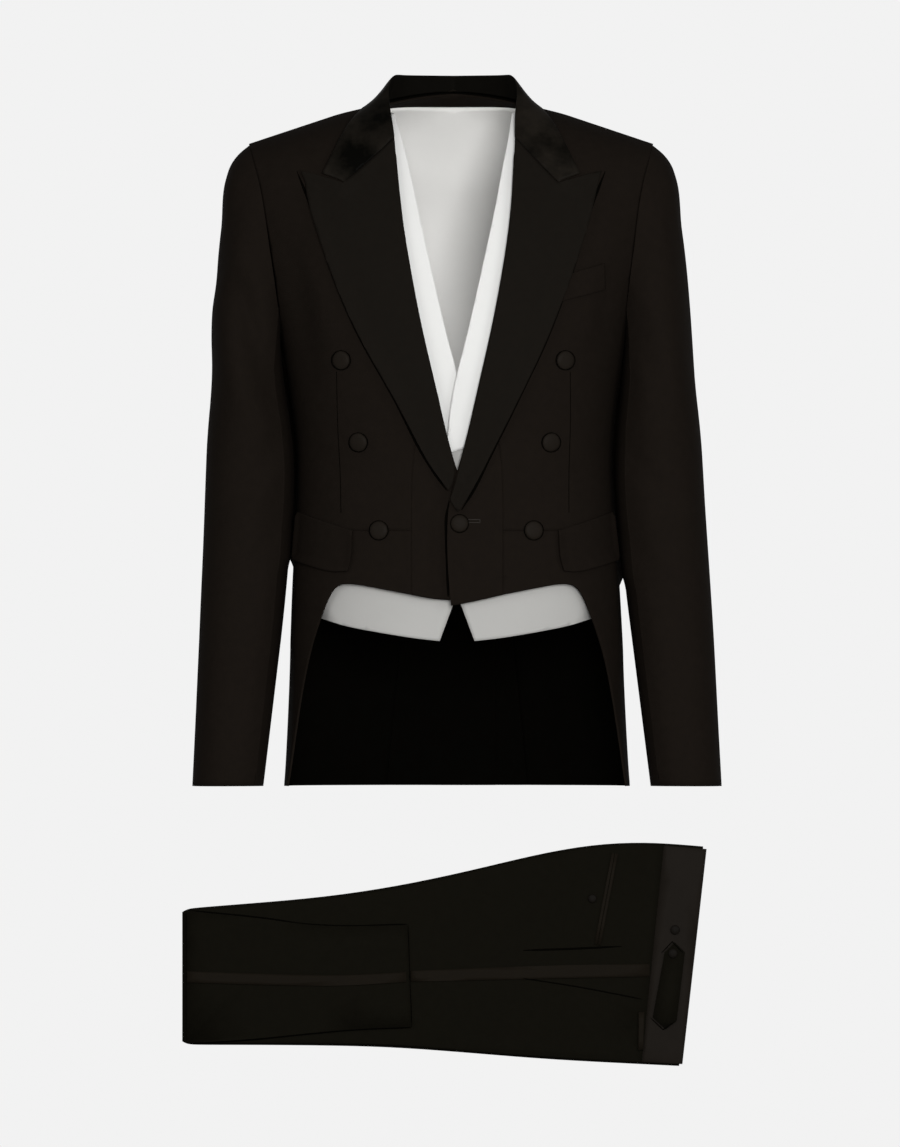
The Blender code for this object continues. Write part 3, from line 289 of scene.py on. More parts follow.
# face, width, depth, line of the front view: pulls from the underarms, hollows at the waist
# and the drop of the tails
COAT_CREASES = [
    ("front", 0.018, -0.0055, [(-0.176, -0.095), (-0.160, -0.175), (-0.152, -0.280)]),
    ("front", 0.014, 0.0022, [(-0.160, -0.120), (-0.142, -0.180), (-0.132, -0.230)]),
    ("front", 0.013, -0.0022, [(0.176, -0.120), (0.160, -0.180), (0.156, -0.245)]),
    ("front", 0.015, 0.0016, [(0.158, -0.130), (0.146, -0.190), (0.142, -0.225)]),
    ("front", 0.012, -0.0016, [(-0.160, -0.335), (-0.125, -0.350), (-0.085, -0.345)]),
    ("front", 0.014, -0.0014, [(0.162, -0.345), (0.128, -0.362), (0.090, -0.360)]),
    ("front", 0.010, -0.0012, [(-0.110, -0.385), (-0.070, -0.380), (-0.035, -0.392)]),
    ("front", 0.011, -0.0010, [(0.108, -0.392), (0.075, -0.384), (0.040, -0.396)]),
    ("front", 0.018, -0.0018, [(-0.120, -0.060), (-0.150, -0.062), (-0.190, -0.075)]),
    ("front", 0.020, -0.0014, [(0.130, -0.062), (0.160, -0.066), (0.192, -0.078)]),
    ("back", 0.018, -0.0032, [(-0.172, -0.130), (-0.140, -0.190), (-0.120, -0.260)]),
    ("back", 0.016, -0.0026, [(0.170, -0.140), (0.142, -0.200), (0.126, -0.250)]),
    ("back", 0.015, 0.0020, [(-0.150, -0.120), (-0.118, -0.175), (-0.100, -0.235)]),
    ("back", 0.013, -0.0020, [(-0.150, -0.352), (-0.090, -0.368), (-0.030, -0.360)]),
    ("back", 0.014, -0.0024, [(0.152, -0.362), (0.100, -0.380), (0.022, -0.372)]),
    ("back", 0.011, -0.0014, [(-0.120, -0.395), (-0.070, -0.402), (-0.015, -0.396)]),
    ("back", 0.020, -0.0022, [(-0.080, -0.040), (0.000, -0.060), (0.085, -0.044)]),
    ("back", 0.022, -0.0026, [(-0.115, -0.470), (-0.122, -0.570), (-0.128, -0.680)]),
    ("back", 0.020, -0.0022, [(0.110, -0.480), (0.120, -0.580), (0.124, -0.684)]),
    ("back", 0.018, 0.0020, [(0.036, -0.520), (0.040, -0.600), (0.044, -0.684)]),
    ("front", 0.020, -0.0022, [(-0.168, -0.540), (-0.174, -0.610), (-0.178, -0.684)]),
    ("front", 0.018, -0.0018, [(0.169, -0.550), (0.175, -0.620), (0.179, -0.684)]),
]


# The left front laps over the right: its edge stands up a little and the cloth beside it dips
LAP_EDGE = [
    ("front", 0.007, 0.0026, [
        (0.001, -0.335), (-0.004, -0.372), (-0.0105, -0.405), (-0.0105, -0.430), (-0.008, -0.500),
        (-0.008, -0.570),
    ]),
]
LAP_HOLLOW = [
    ("front", 0.009, -0.0040, [
        (-0.012, -0.350), (-0.019, -0.400), (-0.020, -0.440), (-0.018, -0.500), (-0.018, -0.570),
    ]),
]
# The body fills out behind each sleeve, down to where the sleeve leaves it
SLEEVE_LEAVES = {"right": -0.452, "left": -0.472}
BEHIND_SLEEVE = 0.0062


# How the worn coat sits: height, shift of its middle, shift of its sides
STANCE = np.array([
    (-0.680, 0.0, 0.0), (-0.535, 0.0, -0.0005), (-0.450, 0.0, -0.0014), (-0.388, 0.0, -0.0023),
    (-0.283, 0.0, -0.0034), (-0.180, -0.0003, -0.0049), (-0.073, -0.0006, -0.0061),
    (-0.012, -0.0018, -0.0063), (0.020, -0.0040, -0.0058), (0.060, -0.0042, -0.0052),
])
SIDE_FROM = 0.047
SIDE_FULL = 0.120
SHOULDER_RISE = 0.0032
SHOULDER_FROM = 0.075
SHOULDER_FULL = 0.125


def stand(points):
    # The coat leans a little to the wearer's right, with lifted shoulders
    points = np.array(points, dtype=float)
    x, z = points[:, 0], points[:, -1]
    middle = np.interp(z, STANCE[:, 0], STANCE[:, 1])
    outer = np.interp(z, STANCE[:, 0], STANCE[:, 2])
    share = fade(np.abs(x), SIDE_FROM, SIDE_FULL)
    rise = SHOULDER_RISE * fade(np.abs(x), SHOULDER_FROM, SHOULDER_FULL) * fade(z, -0.12, -0.04)
    points[:, 0] += middle + (outer - middle) * share
    points[:, -1] += rise
    return points


def stand_line(line):
    return [tuple(spot) for spot in stand(line)]


def drape_body(piece, more=()):
    points = places(piece)
    out = round_body(points)
    height = crease_height(points, out, COAT_CREASES + list(more))
    x, y, z = points.T
    leaves = np.where(x < 0, SLEEVE_LEAVES["right"], SLEEVE_LEAVES["left"])
    full = fade(z, -0.15, -0.20) * fade(z, leaves - 0.010, leaves + 0.005)
    full *= fade(y, 0.001, 0.017) * fade(y, 0.075, 0.040) * fade(np.abs(x), 0.12, 0.15)
    moved = points + out * height[:, None]
    moved[:, 0] += np.sign(x) * BEHIND_SLEEVE * full
    put_places(piece, stand(moved))
    return piece


COAT_CUTS = {
    "front": (0.23, 0.455, 0.080), "front_strap": (0.064, 0.226, 0.0106), "side": (0.15, 0.315, 0.0347),
    "back": (0.21, 0.735, 0.0887), "skirt": (0.31, 0.27, 0.0735),
}
panels = []
for side in SIDES:
    for part, cut in COAT_CUTS.items():
        node = f"coat_{part}_{side}"
        more = {"front_strap_left": LAP_EDGE, "front_strap_right": LAP_HOLLOW}.get(f"{part}_{side}", ())
        panel = drape_body(finer(node, f"wool_{part}_{side}", 3), more)
        panels.append(dress(panel, wool, "black_wool", node))
        line_inside(panel, round_body(places(panel)), lining)

# Sleeves
# Two-piece set-in sleeves: a wide topsleeve and a narrow undersleeve, with a smooth full head.
# They hang close to the body, turned a little forward, with soft drags from the elbow and the armhole.

# height, middle x, middle y of the arm
ARM_LINE = np.array([
    (-0.689, 0.2397, -0.021), (-0.560, 0.2285, -0.0155), (-0.446, 0.219, -0.009),
    (-0.342, 0.2137, -0.002), (-0.262, 0.2158, -0.002), (-0.100, 0.200, 0.0), (0.0, 0.190, 0.0),
])
SLEEVE_CREASES = {
    "right": [
        ("front", 0.016, -0.0105, [(-0.240, -0.095), (-0.226, -0.160), (-0.203, -0.235), (-0.188, -0.310)]),
        ("front", 0.014, 0.0040, [(-0.252, -0.150), (-0.242, -0.220), (-0.222, -0.300)]),
        ("front", 0.013, -0.0030, [(-0.178, -0.300), (-0.200, -0.352), (-0.240, -0.392)]),
        ("front", 0.010, 0.0018, [(-0.182, -0.345), (-0.210, -0.392), (-0.248, -0.424)]),
        ("front", 0.014, -0.0026, [(-0.180, -0.398), (-0.206, -0.448), (-0.232, -0.520)]),
        ("front", 0.016, -0.0018, [(-0.236, -0.520), (-0.230, -0.590), (-0.236, -0.670)]),
        ("back", 0.013, -0.0034, [(-0.190, -0.210), (-0.216, -0.262), (-0.246, -0.302)]),
        ("back", 0.012, -0.0030, [(-0.182, -0.372), (-0.216, -0.402), (-0.254, -0.396)]),
        ("back", 0.011, -0.0026, [(-0.186, -0.420), (-0.222, -0.436), (-0.256, -0.424)]),
        ("back", 0.016, -0.0020, [(-0.230, -0.500), (-0.240, -0.580), (-0.244, -0.672)]),
    ],
    "left": [
        ("front", 0.011, -0.0026, [(0.187, -0.185), (0.206, -0.246), (0.230, -0.300)]),
        ("front", 0.012, 0.0018, [(0.196, -0.150), (0.220, -0.205), (0.244, -0.262)]),
        ("front", 0.013, -0.0026, [(0.178, -0.318), (0.204, -0.366), (0.242, -0.398)]),
        ("front", 0.012, -0.0022, [(0.180, -0.412), (0.208, -0.470), (0.240, -0.540)]),
        ("front", 0.015, -0.0016, [(0.234, -0.548), (0.232, -0.610), (0.238, -0.678)]),
        ("back", 0.013, -0.0030, [(0.192, -0.196), (0.220, -0.250), (0.248, -0.296)]),
        ("back", 0.012, -0.0028, [(0.184, -0.382), (0.220, -0.410), (0.256, -0.402)]),
        ("back", 0.010, -0.0022, [(0.188, -0.440), (0.224, -0.452), (0.258, -0.438)]),
        ("back", 0.016, -0.0018, [(0.232, -0.520), (0.240, -0.600), (0.244, -0.676)]),
    ],
}


def round_arm(points, side):
    middle_x = SIDES[side] * np.interp(points[:, 2], ARM_LINE[:, 0], ARM_LINE[:, 1])
    middle_y = np.interp(points[:, 2], ARM_LINE[:, 0], ARM_LINE[:, 2])
    return unit(np.stack([points[:, 0] - middle_x, points[:, 1] - middle_y, 0 * middle_x], axis=1))


SLEEVE_CUTS = {"topsleeve": (0.20, 0.68, 0.113), "undersleeve": (0.14, 0.615, 0.0733)}
BESIDE_BODY = 0.0026
HEAD_RISE = 0.0016
SLEEVE_SPREAD = 0.0024
HEAD_SPREAD = 0.0044
SEAM_HELD = 0.003
SEAM_FREE = 0.030
for side in SIDES:
    body = [place for panel in panels if panel.name.endswith(side) for place in places(panel)]
    armhole = KDTree(len(body))
    for index, place in enumerate(body):
        armhole.insert(place, index)
    armhole.balance()
    for part, cut in SLEEVE_CUTS.items():
        node = f"coat_{part}_{side}"
        sleeve = finer(node, f"wool_{part}_{side}", 3)
        points = places(sleeve)
        # The cloth is held where it is sewn to the body
        away = np.array([armhole.find(place)[2] for place in stand(points)])
        loose = fade(away, SEAM_HELD, SEAM_FREE)
        out = round_arm(points, side)
        height = crease_height(points, out, SLEEVE_CREASES[side]) * fade(points[:, 2], -0.13, -0.19)
        # The front of the sleeve's inner side leans on the body
        x, y, z = points.T
        leaves = SLEEVE_LEAVES[side]
        near = fade(z, -0.15, -0.20) * fade(z, leaves - 0.010, leaves + 0.005)
        near *= fade(y, -0.003, -0.017) * fade(y, -0.06, -0.03) * gentle(-out[:, 0] * SIDES[side] * 1.5)
        moved = points + out * height[:, None]
        moved[:, 0] -= SIDES[side] * BESIDE_BODY * near
        # The outer side is fuller below the elbow and at the sleeve head
        outside = gentle(out[:, 0] * SIDES[side] * 1.4 - 0.1)
        fuller = SLEEVE_SPREAD * fade(z, -0.24, -0.34) * fade(z, -0.78, -0.68)
        fuller = fuller + HEAD_SPREAD * fade(z, -0.105, -0.055) * fade(z, 0.010, -0.020)
        moved[:, 0] += SIDES[side] * fuller * outside * loose
        moved[:, 2] += HEAD_RISE * fade(z, -0.045, -0.015) * loose
        put_places(sleeve, stand(moved))
        dress(sleeve, wool, "black_wool", node)
        line_inside(sleeve, out, lining)

# Lapels, breast welt and hip flaps
# Wide peaked lapels in the coat's own cloth, rolled back from the front edge, a slanted breast welt
# and two hip flaps with rounded front corners, each lying on the front and pressed flat at its edges.

lapel_wool = cloth_material("black wool on the lapels", (0.0050, 0.0040, 0.0029), (0.0083, 0.0068, 0.0052),
                            0.80, 0.035, 900.0, 0.22)
# The soft roll where each lapel turns back, from the collar to the closing
ROLL_LINE = [
    (0.0635, -0.009), (0.0562, -0.0956), (0.0387, -0.199),
    (0.0216, -0.2745), (0.0126, -0.3138), (0.0025, -0.353),
]
GORGE_LOW = -0.062
GORGE_OUT = 0.115
FLAP_TOP = [(0.107, -0.4205), (0.135, -0.4115), (0.1635, -0.401)]


def lift_rim(piece, lift, width, held):
    # The free edges stand off the front a little; held says which rim points stay down
    points = places(piece)
    out = round_body(points)
    free = set()
    for polygon in piece.data.polygons:
        if abs(Vector(out[polygon.vertices[0]]).dot(polygon.normal)) < 0.5:
            free.update(polygon.vertices)
    free = [index for index in free if not held(abs(points[index][0]), points[index][2])]
    tree = KDTree(len(free))
    for index in free:
        tree.insert(points[index], index)
    tree.balance()
    distance = np.array([tree.find(point)[2] for point in points])
    height = lift * (1 - gentle(distance / width)) ** 1.5
    put_places(piece, points + out * height[:, None])
    return piece


def held_on_lapel(x, z):
    roll = np.interp(-z, [-spot[1] for spot in ROLL_LINE], [spot[0] for spot in ROLL_LINE])
    return x - roll < 0.024 * fade(z, -0.375, -0.325) or (z > GORGE_LOW and x < GORGE_OUT)


def held_on_flap(x, z):
    return z > np.interp(x, [spot[0] for spot in FLAP_TOP], [spot[1] for spot in FLAP_TOP]) - 0.006


lapels = []
for side in SIDES:
    more = LAP_EDGE if side == "left" else ()
    lapel_piece = drape_body(finer(f"lapel_{side}", f"wool_lapel_{side}", 3), more)
    lift_rim(lapel_piece, 0.0034, 0.020, held_on_lapel)
    lapels.append(dress(lapel_piece, lapel_wool, "black_wool", f"lapel_{side}"))
for side in SIDES:
    flap = drape_body(finer(f"hip_flap_{side}", f"wool_hip_flap_{side}", 3))
    lift_rim(flap, 0.0018, 0.012, held_on_flap)
    dress(flap, wool, "black_wool", f"hip_flap_{side}")
welt = dress(drape_body(finer("breast_welt", "wool_breast_welt", 3)), wool, "black_wool", "breast_welt")


def finder(pieces):
    # Looks straight back from in front and gives the first surface met, and which way it faces
    corners = []
    faces = []
    for piece in pieces:
        start = len(corners)
        corners += [vertex.co.copy() for vertex in piece.data.vertices]
        faces += [[start + index for index in polygon.vertices] for polygon in piece.data.polygons]
    tree = BVHTree.FromPolygons(corners, faces)

    def find(x, z):
        place, normal, _, _ = tree.ray_cast(Vector((x, -1, z)), Vector((0, 1, 0)))
        return place, normal

    return find


def smooth_line(points, step):
    # A smooth line of the front view through a few points, a point for each step of its length
    spots = np.array(points)
    lengths = np.concatenate([[0], np.cumsum(np.linalg.norm(np.diff(spots, axis=0), axis=1))])
    count = max(2, int(lengths[-1] / step))
    slopes = np.gradient(spots, lengths, axis=0)
    result = []
    for length in np.linspace(0, lengths[-1], count + 1):
        k = min(np.searchsorted(lengths, length, side="right") - 1, len(spots) - 2)
        span = lengths[k + 1] - lengths[k]
        t = (length - lengths[k]) / span
        result.append(tuple(
            (2 * t**3 - 3 * t**2 + 1) * spots[k] + (t**3 - 2 * t**2 + t) * span * slopes[k]
            + (3 * t**2 - 2 * t**3) * spots[k + 1] + (t**3 - t**2) * span * slopes[k + 1]
        ))
    return result


def tube(name, centres, radii, sides=8):
    # A round thread or rolled edge along a line, with closed ends
    rings = []
    for k, (centre, radius) in enumerate(zip(centres, radii)):
        ahead = centres[min(k + 1, len(centres) - 1)] - centres[max(k - 1, 0)]
        across = ahead.cross(Vector((0, 1, 0))).normalized()
        up = across.cross(ahead).normalized()
        rings.append([
            centre + (across * math.cos(math.tau * n / sides) + up * math.sin(math.tau * n / sides)) * radius
            for n in range(sides)
        ])
    mesh = bpy.data.meshes.new(name)
    work = bmesh.new()
    rows = [[work.verts.new(point) for point in ring] for ring in rings]
    for first, second in zip(rows, rows[1:]):
        for n in range(sides):
            work.faces.new((first[n], first[(n + 1) % sides], second[(n + 1) % sides], second[n]))
    work.faces.new(rows[0][::-1])
    work.faces.new(rows[-1])
    bmesh.ops.recalc_face_normals(work, faces=work.faces)
    work.to_mesh(mesh)
    work.free()
    piece = bpy.data.objects.new(name, mesh)
    bpy.context.scene.collection.objects.link(piece)
    return piece


def tapered(radius, count, tip, gain):
    # A line's radius at each of its points: a share of it at both tips, growing by gain for each point
    return [radius * min(1.0, tip + gain * min(k, count - 1 - k)) for k in range(count)]


# The roll joins the lapel to the front beneath it
ROLL_RADIUS = 0.0024
ROLL_BACK = 0.0019
for side, lapel_piece in zip(SIDES, lapels):
    find = finder([lapel_piece])
    centres = []
    roll = [(SIDES[side] * (x + ROLL_BACK), z) for x, z in smooth_line(ROLL_LINE, 0.006)]
    for x, z in stand_line(roll):
        place, _ = find(x, z)
        if place is not None:
            centres.append(place + Vector((0, ROLL_RADIUS, 0)))
    radii = tapered(ROLL_RADIUS, len(centres), 0.3, 0.35)
    dress(tube(f"lapel_roll_{side}", centres, radii, 12), lapel_wool, "black_wool")

# Darts of the fronts: closed seams that draw the waist in, from under the middle button to the flap
DART = [(0.1225, -0.254), (0.1220, -0.310), (0.1200, -0.360), (0.1195, -0.402)]
THREAD = 0.00042
# Near-black cloth for thread-fine lines: the dart seams, and painted shadow lines at edges, round buttons
# and on the trousers
seam_and_shadow_wool = cloth_material("pressed seam", (0.0012, 0.0011, 0.0007), (0.0020, 0.0017, 0.0013),
                           0.85, 0.005, 900.0, 0.2)
find_panel = finder(panels)
for side in SIDES:
    dart = stand_line([(SIDES[side] * x, z) for x, z in smooth_line(DART, 0.004)])
    centres = [find_panel(x, z)[0] for x, z in dart]
    radii = [THREAD] * len(centres)
    dress(tube(f"front_dart_{side}", centres, radii, 6), seam_and_shadow_wool, "black_wool")

# Dark lines laid just beside the outer edge of each lapel and along the edge that laps over at the closing:
# painted shadow under those edges
LAPEL_EDGE = [
    (0.1604, -0.0466), (0.148, -0.077), (0.1215, -0.1585), (0.0958, -0.221), (0.0662, -0.278),
    (0.0332, -0.3435),
]
LAPEL_FEET = {"left": [(0.017, -0.377), (0.0035, -0.399)], "right": [(0.018, -0.367), (0.0095, -0.3785)]}
LAP_LINE = [
    (-0.0085, -0.3900), (-0.0112, -0.4050), (-0.0112, -0.4300), (-0.0100, -0.4620), (-0.0092, -0.4935),
]
EDGE_BACK = 0.0014
EDGE_SHADOW_RADIUS = 0.0014
LAP_SHADOW_RADIUS = 0.0015
edge_shadow_lines = []
for side in SIDES:
    edge = [(SIDES[side] * (x + EDGE_BACK), z) for x, z in LAPEL_EDGE + LAPEL_FEET[side]]
    edge_shadow_lines.append((f"lapel_edge_{side}", EDGE_SHADOW_RADIUS, edge))
edge_shadow_lines.append(("lapped_edge", LAP_SHADOW_RADIUS, LAP_LINE))
for name, radius, line in edge_shadow_lines:
    centres = [find_panel(x, z)[0] for x, z in stand_line(smooth_line(line, 0.005))]
    centres = [centre for centre in centres if centre is not None]
    radii = tapered(radius, len(centres), 0.3, 0.2)
    dress(tube(name, centres, radii, 10), seam_and_shadow_wool, "black_wool")

# Neck facing and collar
# The collar is black silk satin, turned over at the top, its two leaves running down to the notches;
# inside the neck a narrow facing of the coat's own cloth covers the collar's seam.

# The satin's nap runs in broad streaks from near black to a lighter brown: painted sheen on the collar
# leaves
satin = cloth_material("black satin", (0.0012, 0.0011, 0.0007), (0.0118, 0.0096, 0.0073),
                       0.45, 0.030, 2600.0, 0.05, 17.0, 0.16)
inner_satin = cloth_material("satin inside the collar", (0.0030, 0.0027, 0.0021), (0.0044, 0.0039, 0.0031),
                             0.70, 0.01, 2600.0, 0.05, 60.0)
collar = finer("coat_collar", "satin_collar", 3)
put_places(collar, stand(places(collar)))
dress(collar, satin, "black_satin", "coat_collar")
line_inside(collar, round_body(places(collar)), inner_satin)
facing = drape_body(finer("coat_neck_facing", "wool_neck_facing", 2))
dress(facing, wool, "black_wool", "coat_neck_facing")

# Waistcoat
# Pale satin fronts that cross left over right and end in two points below the coat's hem, a satin back
# seen through the open neck, and white lapel bands along the V.

# The fronts take a darker copy of the back's pale satin: painted shade from the coat over them
grey_satin = cloth_material("pale grey satin", (0.365, 0.361, 0.347), (0.39, 0.385, 0.372),
                            0.50, 0.10, 2600.0, 0.04, 45.0)
pale_satin = cloth_material("pale satin of the back", (0.80, 0.792, 0.768), (0.84, 0.832, 0.808),
                            0.55, 0.12, 2600.0, 0.04, 45.0)
white_cloth = cloth_material("white band cloth", (0.68, 0.68, 0.665), (0.71, 0.71, 0.695),
                             0.62, 0.12, 1500.0, 0.10)
FRONT_CUT = (0.24, 0.565, 0.0975)
BACK_CUT = (0.46, 0.535, 0.20)
BAND_CUT = (0.045, 0.375, 0.0121)
waistcoat_pieces = [(f"waistcoat_front_{side}", "grey_satin", grey_satin, FRONT_CUT) for side in SIDES]
waistcoat_pieces.append(("waistcoat_back", "grey_satin", pale_satin, BACK_CUT))
waistcoat_pieces += [(f"waistcoat_lapel_{side}", "white_pique", white_cloth, BAND_CUT) for side in SIDES]
for node, slot_name, material, cut in waistcoat_pieces:
    name = node.replace("waistcoat", "inner_waistcoat")
    cloth = dress(drape_body(finer(node, name, 3)), material, slot_name, node)

# Covered buttons
# Six show buttons in two slanting rows and the one that closes the front: domed moulds covered
# in black satin, sewn flat to the cloth.

button_satin = cloth_material("button satin", (0.0082, 0.0064, 0.0046), (0.0118, 0.0092, 0.0070),
                              0.55, 0.03, 2600.0, 0.08, 60.0)
# share of the radius, share of the height: flat under side, rounded rim, low dome
BUTTON_PROFILE = [
    (0.0, 0.0), (0.70, 0.0), (0.92, 0.06), (1.0, 0.22), (1.0, 0.38), (0.95, 0.58), (0.84, 0.76),
    (0.66, 0.90), (0.42, 0.975), (0.20, 1.0), (0.0, 1.0),
]
BUTTON_TURNS = 40
COVER_PLEATS = 9


def covered_button(node, name, material, slot_name, on_coat=False):
    # A domed button in the place of its plain disc: the disc's own middle, radius, height and facing
    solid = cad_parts[node].data
    points = np.array([vertex.co for vertex in solid.vertices])
    middle = (points.min(axis=0) + points.max(axis=0)) / 2
    _, spread, ways = np.linalg.svd(points - points.mean(axis=0), full_matrices=False)
    facing = ways[2] if ways[2][1] < 0 else -ways[2]
    level = (points - middle) @ facing
    height = level.max() - level.min()
    foot = Vector(middle + facing * level.min())
    if on_coat:
        foot = Vector(stand([foot])[0])
    radius = np.linalg.norm((points - middle) - np.outer(level, facing), axis=1).max()
    normal = Vector(facing)
    across = normal.cross(Vector((0, 0, 1))).normalized()
    up = across.cross(normal)
    mesh = bpy.data.meshes.new(name)
    work = bmesh.new()
    rows = []
    for share, rise in BUTTON_PROFILE[1:-1]:
        row = []
        for turn in range(BUTTON_TURNS):
            angle = math.tau * turn / BUTTON_TURNS
            pull = 1 - 0.012 * share * (1 - rise) * (1 + math.sin(COVER_PLEATS * angle))
            way = across * math.cos(angle) + up * math.sin(angle)
            row.append(work.verts.new(foot + way * (radius * share * pull) + normal * (height * rise)))
        rows.append(row)
    for first, second in zip(rows, rows[1:]):
        for n in range(BUTTON_TURNS):
            m = (n + 1) % BUTTON_TURNS
            work.faces.new((first[n], first[m], second[m], second[n]))
    for row, rise in ((rows[0], 0.0), (rows[-1], 1.0)):
        tip = work.verts.new(foot + normal * (height * rise))
        for n in range(BUTTON_TURNS):
            work.faces.new((tip, row[n], row[(n + 1) % BUTTON_TURNS]))
    bmesh.ops.recalc_face_normals(work, faces=work.faces)
    work.to_mesh(mesh)
    work.free()
    piece = bpy.data.objects.new(name, mesh)
    bpy.context.scene.collection.objects.link(piece)
    return dress(piece, material, slot_name, node)


button_nodes = [f"show_button_{side}_{number}" for side in SIDES for number in (1, 2, 3)]
for node in button_nodes + ["closing_button"]:
    covered_button(node, f"covered_{node}", button_satin, "black_satin", True)

# A thin dark ring laid on the cloth round each button: painted contact shadow
SHADOW_RING_RADIUS = 0.0006
RING_TURNS = 36
for node in button_nodes + ["closing_button"]:
    button = bpy.data.objects[f"covered_{node}"]
    spots = places(button)
    middle = (spots.min(axis=0) + spots.max(axis=0)) / 2
    radius = (spots.max(axis=0) - spots.min(axis=0))[2] / 2 + 0.0003
    circle = [(middle[0] + radius * math.cos(math.tau * k / RING_TURNS),
               middle[2] + radius * math.sin(math.tau * k / RING_TURNS)) for k in range(RING_TURNS + 1)]
    centres = [find_panel(x, z)[0] for x, z in circle]
    dress(tube(f"sunk_ring_{node}", centres, [SHADOW_RING_RADIUS] * len(centres), 8), seam_and_shadow_wool, "black_wool")

# The buttonhole beside the closing button: two lines of thread with a bar at the end
thread = cloth_material("buttonhole thread", (0.016, 0.0135, 0.011), (0.026, 0.022, 0.019),
                        0.6, 0.08, 3000.0, 0.2)
HOLE_START = 0.0118
HOLE_END = 0.0240
HOLE_LEVELS = (-0.4092, -0.4123)
hole_lines = [[(HOLE_START, level), (HOLE_END, level)] for level in HOLE_LEVELS]
hole_lines.append([(HOLE_END, HOLE_LEVELS[0] + 0.0004), (HOLE_END, HOLE_LEVELS[1] - 0.0004)])
for number, line in enumerate(hole_lines, 1):
    centres = [find_panel(x, z)[0] for x, z in stand_line(smooth_line(line, 0.0012))]
    dress(tube(f"buttonhole_thread_{number}", centres, [0.00055] * len(centres), 6), thread, "black_satin")

# Folded trousers
# Black wool trousers laid sideways and folded, one leg turned up over the other, with a satin side
# stripe and a wide satin waistband.

trouser_wool = cloth_material("black wool of the trousers", (0.0039, 0.0035, 0.0022),
                              (0.0060, 0.0053, 0.0036), 0.85, 0.015, 900.0, 0.25)
stripe_satin = cloth_material("satin of the side stripe", (0.0068, 0.0053, 0.0036), (0.0095, 0.0076, 0.0053),
                              0.55, 0.012, 2600.0, 0.06, 60.0)
band_satin = cloth_material("satin of the waistband", (0.0072, 0.0058, 0.0044), (0.0135, 0.0111, 0.0090),
                            0.55, 0.016, 2600.0, 0.06, 30.0)
# node, material, colour slot, cut, held, what it lies on
TROUSER_PIECES = [
    ("trousers_folded_layers", trouser_wool, "black_wool", (0.55, 0.236, 0.110), "folded", None),
    ("trousers_top_leg", trouser_wool, "black_wool", (0.50, 0.23, 0.088), "laid", "folded_layers"),
    ("trousers_turned_leg", trouser_wool, "black_wool", (0.236, 0.139, 0.0286), "folded", "top_leg"),
    ("back_pocket_jet_inner", stripe_satin, "black_wool", (0.01, 0.098, 0.00041), "laid", "top_leg"),
    ("back_pocket_jet_outer", stripe_satin, "black_wool", (0.01, 0.098, 0.00041), "laid", "top_leg"),
    ("trousers_waistband", band_satin, "black_satin", (0.048, 0.23, 0.0105), "laid", "folded_layers"),
    ("trousers_side_stripe", stripe_satin, "black_satin", (0.0145, 0.249, 0.0034), "laid", "top_leg"),
    ("trousers_turned_stripe", stripe_satin, "black_satin", (0.013, 0.23, 0.00275), "laid", "turned_leg"),
    ("trousers_front_strip", stripe_satin, "black_satin", (0.01, 0.04, 0.00026), "laid", "top_leg"),
    ("side_adjuster_tab", trouser_wool, "black_satin", (0.025, 0.092, 0.0020), "laid", "waistband"),
]
WAIST_REACH = 0.0026
trousers = []
for node, material, slot_name, cut, held, on in TROUSER_PIECES:
    cloth = finer(node, f"folded_{node}", 0 if node == "side_adjuster_tab" else 2)
    points = places(cloth)
    points[:, 0] += WAIST_REACH * fade(points[:, 0], 0.08, 0.20)
    put_places(cloth, points)
    dress(cloth, material, slot_name, node)
    trousers.append(cloth)
trouser_button = cloth_material("trouser button", (0.0044, 0.0036, 0.0027), (0.0064, 0.0053, 0.0042),
                                0.55, 0.03, 2600.0, 0.08, 60.0)
for node, slot_name in (("side_adjuster_button", "black_satin"), ("waistband_button", "black_satin"),
                        ("back_pocket_button", "black_wool")):
    covered_button(node, f"covered_{node}", trouser_button, slot_name)

# Thin dark lines: the slit of the pocket opening, and painted shadow along the pressed pleat, the edges of
# the turned-up leg and the rim of the adjuster tab
find_trousers = finder(trousers)
TROUSER_LINES = [
    ("pocket_opening", 0.0007, [(0.0698, -0.8915), (0.130, -0.9010), (0.195, -0.9135)]),
    ("pleat_shadow", 0.0011, [(0.0698, -0.8621), (0.120, -0.8605), (0.1729, -0.8579)]),
    ("turned_leg_upper_edge", 0.0008, [
        (-0.282, -0.8200), (-0.1974, -0.8288), (-0.1596, -0.8343), (-0.1208, -0.8362), (-0.052, -0.8345),
    ]),
    ("turned_leg_lower_edge", 0.0008, [
        (-0.282, -0.9602), (-0.2163, -0.9562), (-0.1596, -0.9504), (-0.1019, -0.9454), (-0.050, -0.9435),
    ]),
    ("turned_leg_hem", 0.0007, [(-0.0515, -0.8360), (-0.0500, -0.8900), (-0.0475, -0.9425)]),
    ("tab_rim", 0.0006, [(0.2150, -0.8650), (0.2264, -0.8530), (0.2380, -0.8650)]),
    ("tab_rim_low", 0.0006, [(0.2028, -0.9325), (0.2168, -0.9455), (0.2290, -0.9368)]),
]
ROUNDED_LINES = ("pocket_opening", "turned_leg_upper_edge", "turned_leg_lower_edge")
STEPS = 6
